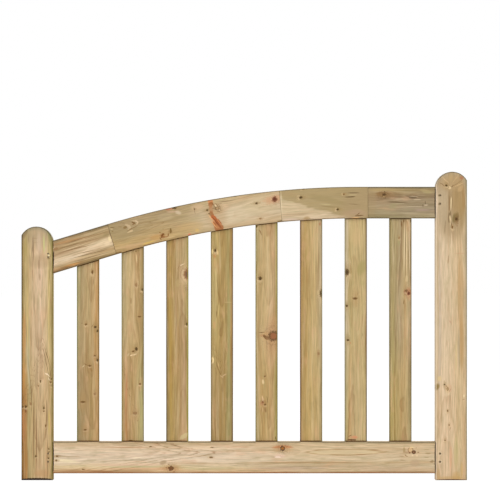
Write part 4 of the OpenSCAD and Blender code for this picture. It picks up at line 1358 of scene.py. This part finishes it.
# %% Wood of pale 4
pale_wood(
    4,
    foot=[(-32.5, 0x8c764e), (-26, 0xb09462), (-14, 0xa88a58), (-2, 0xa88a56), (8, 0xac8d58),
          (17, 0xa09260), (24, 0xa29260), (32.5, 0x8c6e42)],
    head=[(-32.5, 0x928056), (-26, 0xbaa46e), (-15, 0xbaa068), (-4, 0xb0945e), (8, 0xaf925c),
          (18, 0xa89662), (26, 0xb08e58), (32.5, 0x866a3c)],
    pith=(0, 45), taper=-0.014, seed=40.0, bright=1.0, edges=(0x766432, 0x684e20),
    nests=[(-5, 307, 4, 18, -90, 60), (-12, 118, 5, 16, 40, 80)],
    patches=[(-25, 667, 4.2, 10, 0xe8cc8e, 90, 10), (-14.5, 666, 4, 11, 0xe6c48a, 90, -16),
             (-19.3, 655, 3, 9, 0xc28850, 70), (-19.3, 635, 2.6, 18, 0xceaa70, 60),
             (-29, 350, 6, 12, 0xf6d89c, 100), (-17, 585, 2.4, 40, 0xceb67a, 80, -4),
             (-12, 560, 1.3, 44, 0x826634, 100, -7), (-23, 560, 1.2, 40, 0x8c7648, 60, -5),
             (-8, 500, 2.2, 30, 0xcab274, 70, 5), (-15, 490, 1.4, 24, 0x7e6432, 100, 6),
             (-21, 452, 3.6, 14, 0xcea26c, 60), (-6, 440, 1.2, 40, 0x90723e, 60, -6),
             (19, 450, 5, 230, 0x9e9662, 50), (29, 500, 2.6, 220, 0xa47a46, 60),
             (17, 519, 1.3, 12, 0xceb882, 50, 90), (-14, 330, 1.3, 16, 0x8c6c3c, 80, -12),
             (-10, 334, 1.4, 16, 0xd2b27a, 80, -10), (-18, 318, 1.2, 14, 0x8a6c3c, 70, -14),
             (6, 306, 3, 9, 0xceae82, 70, 60), (-2, 302, 1.8, 8, 0xccac7e, 70, -50)],
    knots=[(-19.3, 670.5, 2.6, 1.7, "dark"), (-32.5, 347, 3, 1.2, "dark")])

# %% Wood of pale 5
pale_wood(
    5,
    foot=[(-32.5, 0x7c764c), (-27, 0xa8986c), (-12, 0xbc9e6a), (2, 0xbea06c), (12, 0xc2a070),
          (20, 0xb89c6c), (27, 0xa8985c), (32.5, 0x8e824e)],
    head=[(-32.5, 0x887c54), (-27, 0xb0a074), (-18, 0xb89c6e), (2, 0xc0a577), (13, 0xc2a47a),
          (22, 0xbc9c72), (27, 0xb0a06a), (32.5, 0x92824e)],
    pith=(6, 40), taper=-0.016, seed=43.0, bright=1.03, edges=(0x766c3c, 0x746832), head_shade=1.0,
    patches=[(12, 421, 23, 17, 0xcca068, 50), (-4, 422.5, 5, 10, 0xc09264, 70, 80),
             (7.5, 416.5, 5.6, 13, 0x76522a, 110, -50, 40), (-4, 431, 1.3, 10, 0x78562e, 90, 84, 40),
             (31, 437, 2, 4, 0x5c381c, 100), (-4.6, 286.5, 2.8, 9, 0xe2c694, 90),
             (-8, 223, 6, 7, 0xbe8a60, 80), (-6, 238, 1.4, 12, 0xe4c89a, 90, -6),
             (2, 234, 1.5, 11, 0x74562c, 100, -4, 40), (-6, 205, 1.6, 10, 0xd0a880, 80),
             (-11, 206, 1.2, 8, 0x966c42, 80, 4), (-2, 204, 1.2, 9, 0x926e42, 80, -4),
             (27, 300, 1.4, 180, 0x8c7a44, 70), (23.5, 600, 1.4, 130, 0x96744a, 60),
             (-27, 640, 2, 70, 0xccc498, 70), (-18, 723, 2, 12, 0x8c6c42, 90, -24),
             (26, 122.8, 1.6, 7, 0x644c24, 100), (-24.5, 600, 5, 6, 0xb0a66e, 60)],
    knots=[(-18.5, 588.5, 4.2, 1.1, "dark"), (20.5, 420.5, 12.8, 0.92, "rust"),
           (-4.6, 302.5, 2, 1, "brown"), (-11, 227, 2.8, 0.8, "rust"), (-4, 220, 2.8, 0.8, "brown"),
           (-29, 740, 1.8, 1.4, "dark")])

# %% Wood of pale 6
pale_wood(
    6,
    foot=[(-32.5, 0x7c5a34), (-27, 0xac8e5a), (-16, 0xb89a62), (-2, 0xc4a770), (10, 0xba9e6a),
          (20, 0xc0a573), (27, 0xbca67a), (32.5, 0x8c805c)],
    head=[(-32.5, 0x7e5c36), (-27, 0xac8e5c), (-14, 0xb49761), (2, 0xbea473), (14, 0xbea575),
          (25, 0xbaa682), (32.5, 0xa08e74)],
    pith=(-60, 0), taper=0.008, seed=46.0, ring=3.6, rings=0.8, bright=1.06, head_shade=1.0,
    edges=(0x684424, 0x7a6e48),
    patches=[(20, 370, 4, 16, 0xa08054, 40), (14, 620, 1.2, 120, 0x98764a, 60),
             (21, 620, 1.2, 110, 0x9a764c, 60), (10, 640, 1.3, 90, 0xdabc88, 60),
             (25.5, 748, 2.2, 8, 0xac6e46, 80), (18, 660, 1.3, 60, 0xdec08e, 50),
             (8, 300, 1.2, 150, 0xa0824e, 40), (29, 640, 2, 110, 0xc4b096, 60),
             (23, 548, 4, 10, 0xd6bc8a, 50), (-10, 560, 20, 20, 0xb29660, 25)],
    knots=[(30, 545, 4, 2.4, "dark"), (21.5, 369, 2.6, 1.2, "faint")])

# %% Wood of pale 7
pale_wood(
    7,
    foot=[(-32.5, 0x8c8660), (-27, 0xb4a070), (-17, 0xc2a070), (-6, 0xbea67a), (14, 0xc0a87a),
          (23, 0xc2ac7c), (28, 0xb6a070), (32.5, 0x786438)],
    head=[(-32.5, 0xa6987a), (-27, 0xc4b292), (-18, 0xbaa474), (4, 0xbea678), (16, 0xbea878),
          (25, 0xbca67a), (32.5, 0x78623a)],
    pith=(-10, 42), taper=0.014, seed=49.0, bright=1.04, edges=(0x928868, 0x604c24), head_shade=1.0,
    patches=[(-4, 124.5, 12, 6, 0xd8986e, 95), (-16, 129, 1.3, 6, 0x784022, 90, 60),
             (-12, 117.2, 1.7, 14, 0x5c2810, 130, 90, 50), (14, 620, 15, 30, 0xa6965e, 80, 20),
             (15, 575, 10, 10, 0xb0a068, 40), (0, 710, 18, 36, 0xceac7a, 40),
             (17.5, 424, 1.3, 8, 0x967a4a, 80, -6), (30, 440, 1.6, 160, 0xb0703c, 60),
             (-19, 400, 1.6, 6, 0xc48454, 70, -30), (5, 430, 5, 10, 0xceb888, 50),
             (-2, 543, 1.2, 8, 0xa08052, 70), (3, 541, 1.4, 6, 0xdac08e, 80, 20),
             (-4, 290, 1.2, 60, 0xaa8a5c, 40), (-18, 640, 1.3, 30, 0xceb68c, 60, -8)],
    knots=[(-26.5, 607, 5.6, 1.5, "dark"), (-2, 530, 5.8, 0.5, "brown"), (-26.5, 508.6, 2.8, 1, "dark"),
           (-23.2, 408.5, 3.2, 0.8, "dark")])

# %% Wood of pale 8
pale_wood(
    8,
    foot=[(-32.5, 0x7e724c), (-26, 0xb09a62), (-14, 0xb29b64), (-2, 0xb49a68), (10, 0xba9e6e),
          (18, 0xbea576), (26, 0xaa966c), (32.5, 0x8c8058)],
    head=[(-32.5, 0x8c805a), (-26, 0xa8966c), (-12, 0xa8946c), (0, 0xa6906e), (8, 0xb29a72),
          (18, 0xc2a87c), (26, 0xb49d78), (32.5, 0x968260)],
    pith=(12, 45), taper=0.012, seed=52.0, ring=3.4, rings=0.75, bright=1.04, head_shade=1.0,
    edges=(0x7e7246, 0x70603c),
    patches=[(13, 400, 1.4, 200, 0xb08048, 60), (11, 680, 1.4, 90, 0xe6d0a6, 90, 1),
             (18, 670, 1.4, 95, 0xe6cea2, 90), (26, 670, 1.4, 90, 0xe4cea8, 90, -1),
             (15, 670, 1.2, 90, 0x8a6e46, 90), (22, 665, 1.2, 95, 0x8c724a, 90),
             (30, 640, 1.2, 110, 0x846c4a, 70), (19.5, 588, 3, 12, 0xdec494, 50),
             (3, 748, 2.2, 12, 0x7a562c, 100), (8, 756, 2, 6, 0x7e5c32, 90),
             (30, 756, 3, 6, 0x5c4022, 100), (-6, 700, 3, 20, 0xa49c68, 50),
             (21.3, 548.6, 7, 11, 0x9c6444, 80), (14, 520, 3, 10, 0x846436, 70, 20),
             (25, 400, 1.4, 220, 0x887452, 60), (-20, 400, 6, 250, 0xac9a5c, 35)],
    knots=[(18.5, 552, 3.4, 1.1, "dark"), (24, 545, 3.6, 1.2, "red"), (-4, 707, 2, 1.4, "faint")])

# %% [markdown]
# ## Pins and dowels
#
# The pins are cut from steel wire and have gone dull and brown in the wet wood. The dowels are beech, and
# only show when the joints are drawn apart.

# %% Steel and beech
steel, tree, shader, place = new_material("dull steel wire")
spots = cloud(place.object, 4.0, scale=900.0)
feed(shader["Metallic"], 0.5)
feed(shader["Base Color"], mix(fade(spots, 0.4, 0.65), shade(0x78684e), shade(0x503c28)))
feed(shader["Roughness"], spots * 0.3 + 0.40)
for node in ("low_bottom_pins", "low_top_pins", "tall_bottom_pins", "tall_top_pins"):
    dress(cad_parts[node], steel)

beech, tree, shader, place = new_material("beech dowel")
squeeze = add_node(tree, "Mapping", {"Vector": place.object, "Scale": (40.0, 700.0, 700.0)})
flecks = cloud(Value(squeeze.outputs[0]), 3.0)
feed(shader["Base Color"], mix(fade(flecks, 0.35, 0.7), shade(0xdec096), shade(0xbe9a70)))
feed(shader["Roughness"], flecks * 0.2 + 0.5)
for node in ("slope_joint_dowels", "crest_joint_dowels", "level_joint_dowels"):
    dress(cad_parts[node], beech)

# %% [markdown]
# ## Floor, light and camera
#
# The leaf stands on a plain white floor in the light of large soft lamps and a pale sky. To the camera the
# sky is plain white, and so is the floor apart from a share of its own shading, which keeps the leaf's
# faint shadow. The light that falls on the wood is set apart from that, so that the wood shows its own
# colours.

# %% Floor and sky


def plain_when_seen(tree, output, shading, plain, share=1.0):
    """Blends a share of a plain shader over the shading, for rays that come from the camera only."""
    path = outputs_of(tree.nodes.new("ShaderNodeLightPath"))
    seen = calc("MAXIMUM", path.is_camera_ray, path.is_glossy_ray)
    seen = calc("MAXIMUM", seen, path.is_transmission_ray)
    blend = add_node(tree, "MixShader", [seen * share, Value(shading.outputs[0]), Value(plain.outputs[0])])
    feed(tree.nodes[output].inputs["Surface"], Value(blend.outputs[0]))


floor_mesh = bpy.data.meshes.new("floor")
bm = bmesh.new()
bmesh.ops.create_grid(bm, x_segments=1, y_segments=1, size=30)
bm.to_mesh(floor_mesh)
bm.free()
floor = bpy.data.objects.new("floor", floor_mesh)
bpy.context.scene.collection.objects.link(floor)
white, tree, shader, place = new_material("white floor")
feed(shader["Base Color"], shade(0xf2f2f2))
feed(shader["Roughness"], 0.9)
feed(shader["Specular IOR Level"], 0.0)
glow = add_node(tree, "Emission", {"Strength": 1.12})
plain_when_seen(tree, "Material Output", tree.nodes["Principled BSDF"], glow, 0.85)
dress(floor, white)

world = bpy.data.worlds.new("pale sky")
bpy.context.scene.world = world
world.use_nodes = True
tree = world.node_tree
sky = tree.nodes["Background"]
feed(sky.inputs["Color"], (1, 1, 1, 1))
feed(sky.inputs["Strength"], 0.5)
plain = add_node(tree, "Background", {"Color": (1, 1, 1, 1), "Strength": 1.0})
plain_when_seen(tree, "World Output", sky, plain)

# %% Lamps


def lamp(name, place, aim_z, power):
    """A large soft lamp that looks at a point over the middle of the leaf's foot."""
    data = bpy.data.lights.new(name, "AREA")
    data.shape = "SQUARE"
    data.size = 3.0
    data.energy = power
    made = bpy.data.objects.new(name, data)
    made.location = place
    made.rotation_euler = (aim_z * Z - Vector(place)).to_track_quat("-Z", "Y").to_euler()
    bpy.context.scene.collection.objects.link(made)
    print(name, "lamp,", power, "watts")


lamp("front left", (-2.6, -4.2, 3.0), 0.3, 110)
lamp("front right", (3.0, -4.6, 2.2), 0.3, 72)
lamp("behind", (1.5, 4.5, 3.2), 0.4, 110)

# %% [markdown]
# The camera stands level, seven and a half metres in front of the leaf and a little right of its middle.
# Its lens is as long as it takes to see just under a metre and a half of the leaf's plane from there.

# %% Camera
distance = 7.5
seen_width = 1.45815
camera_data = bpy.data.cameras.new("camera")
camera_data.lens = camera_data.sensor_width * distance / seen_width
camera = bpy.data.objects.new("camera", camera_data)
camera.location = (0.01687, face_y - distance, 0.6716)
camera.rotation_euler = (math.pi / 2, 0, 0)
bpy.context.scene.collection.objects.link(camera)
bpy.context.scene.camera = camera
bpy.context.scene.view_settings.view_transform = "Standard"
print("lens", round(camera_data.lens, 1), "mm")
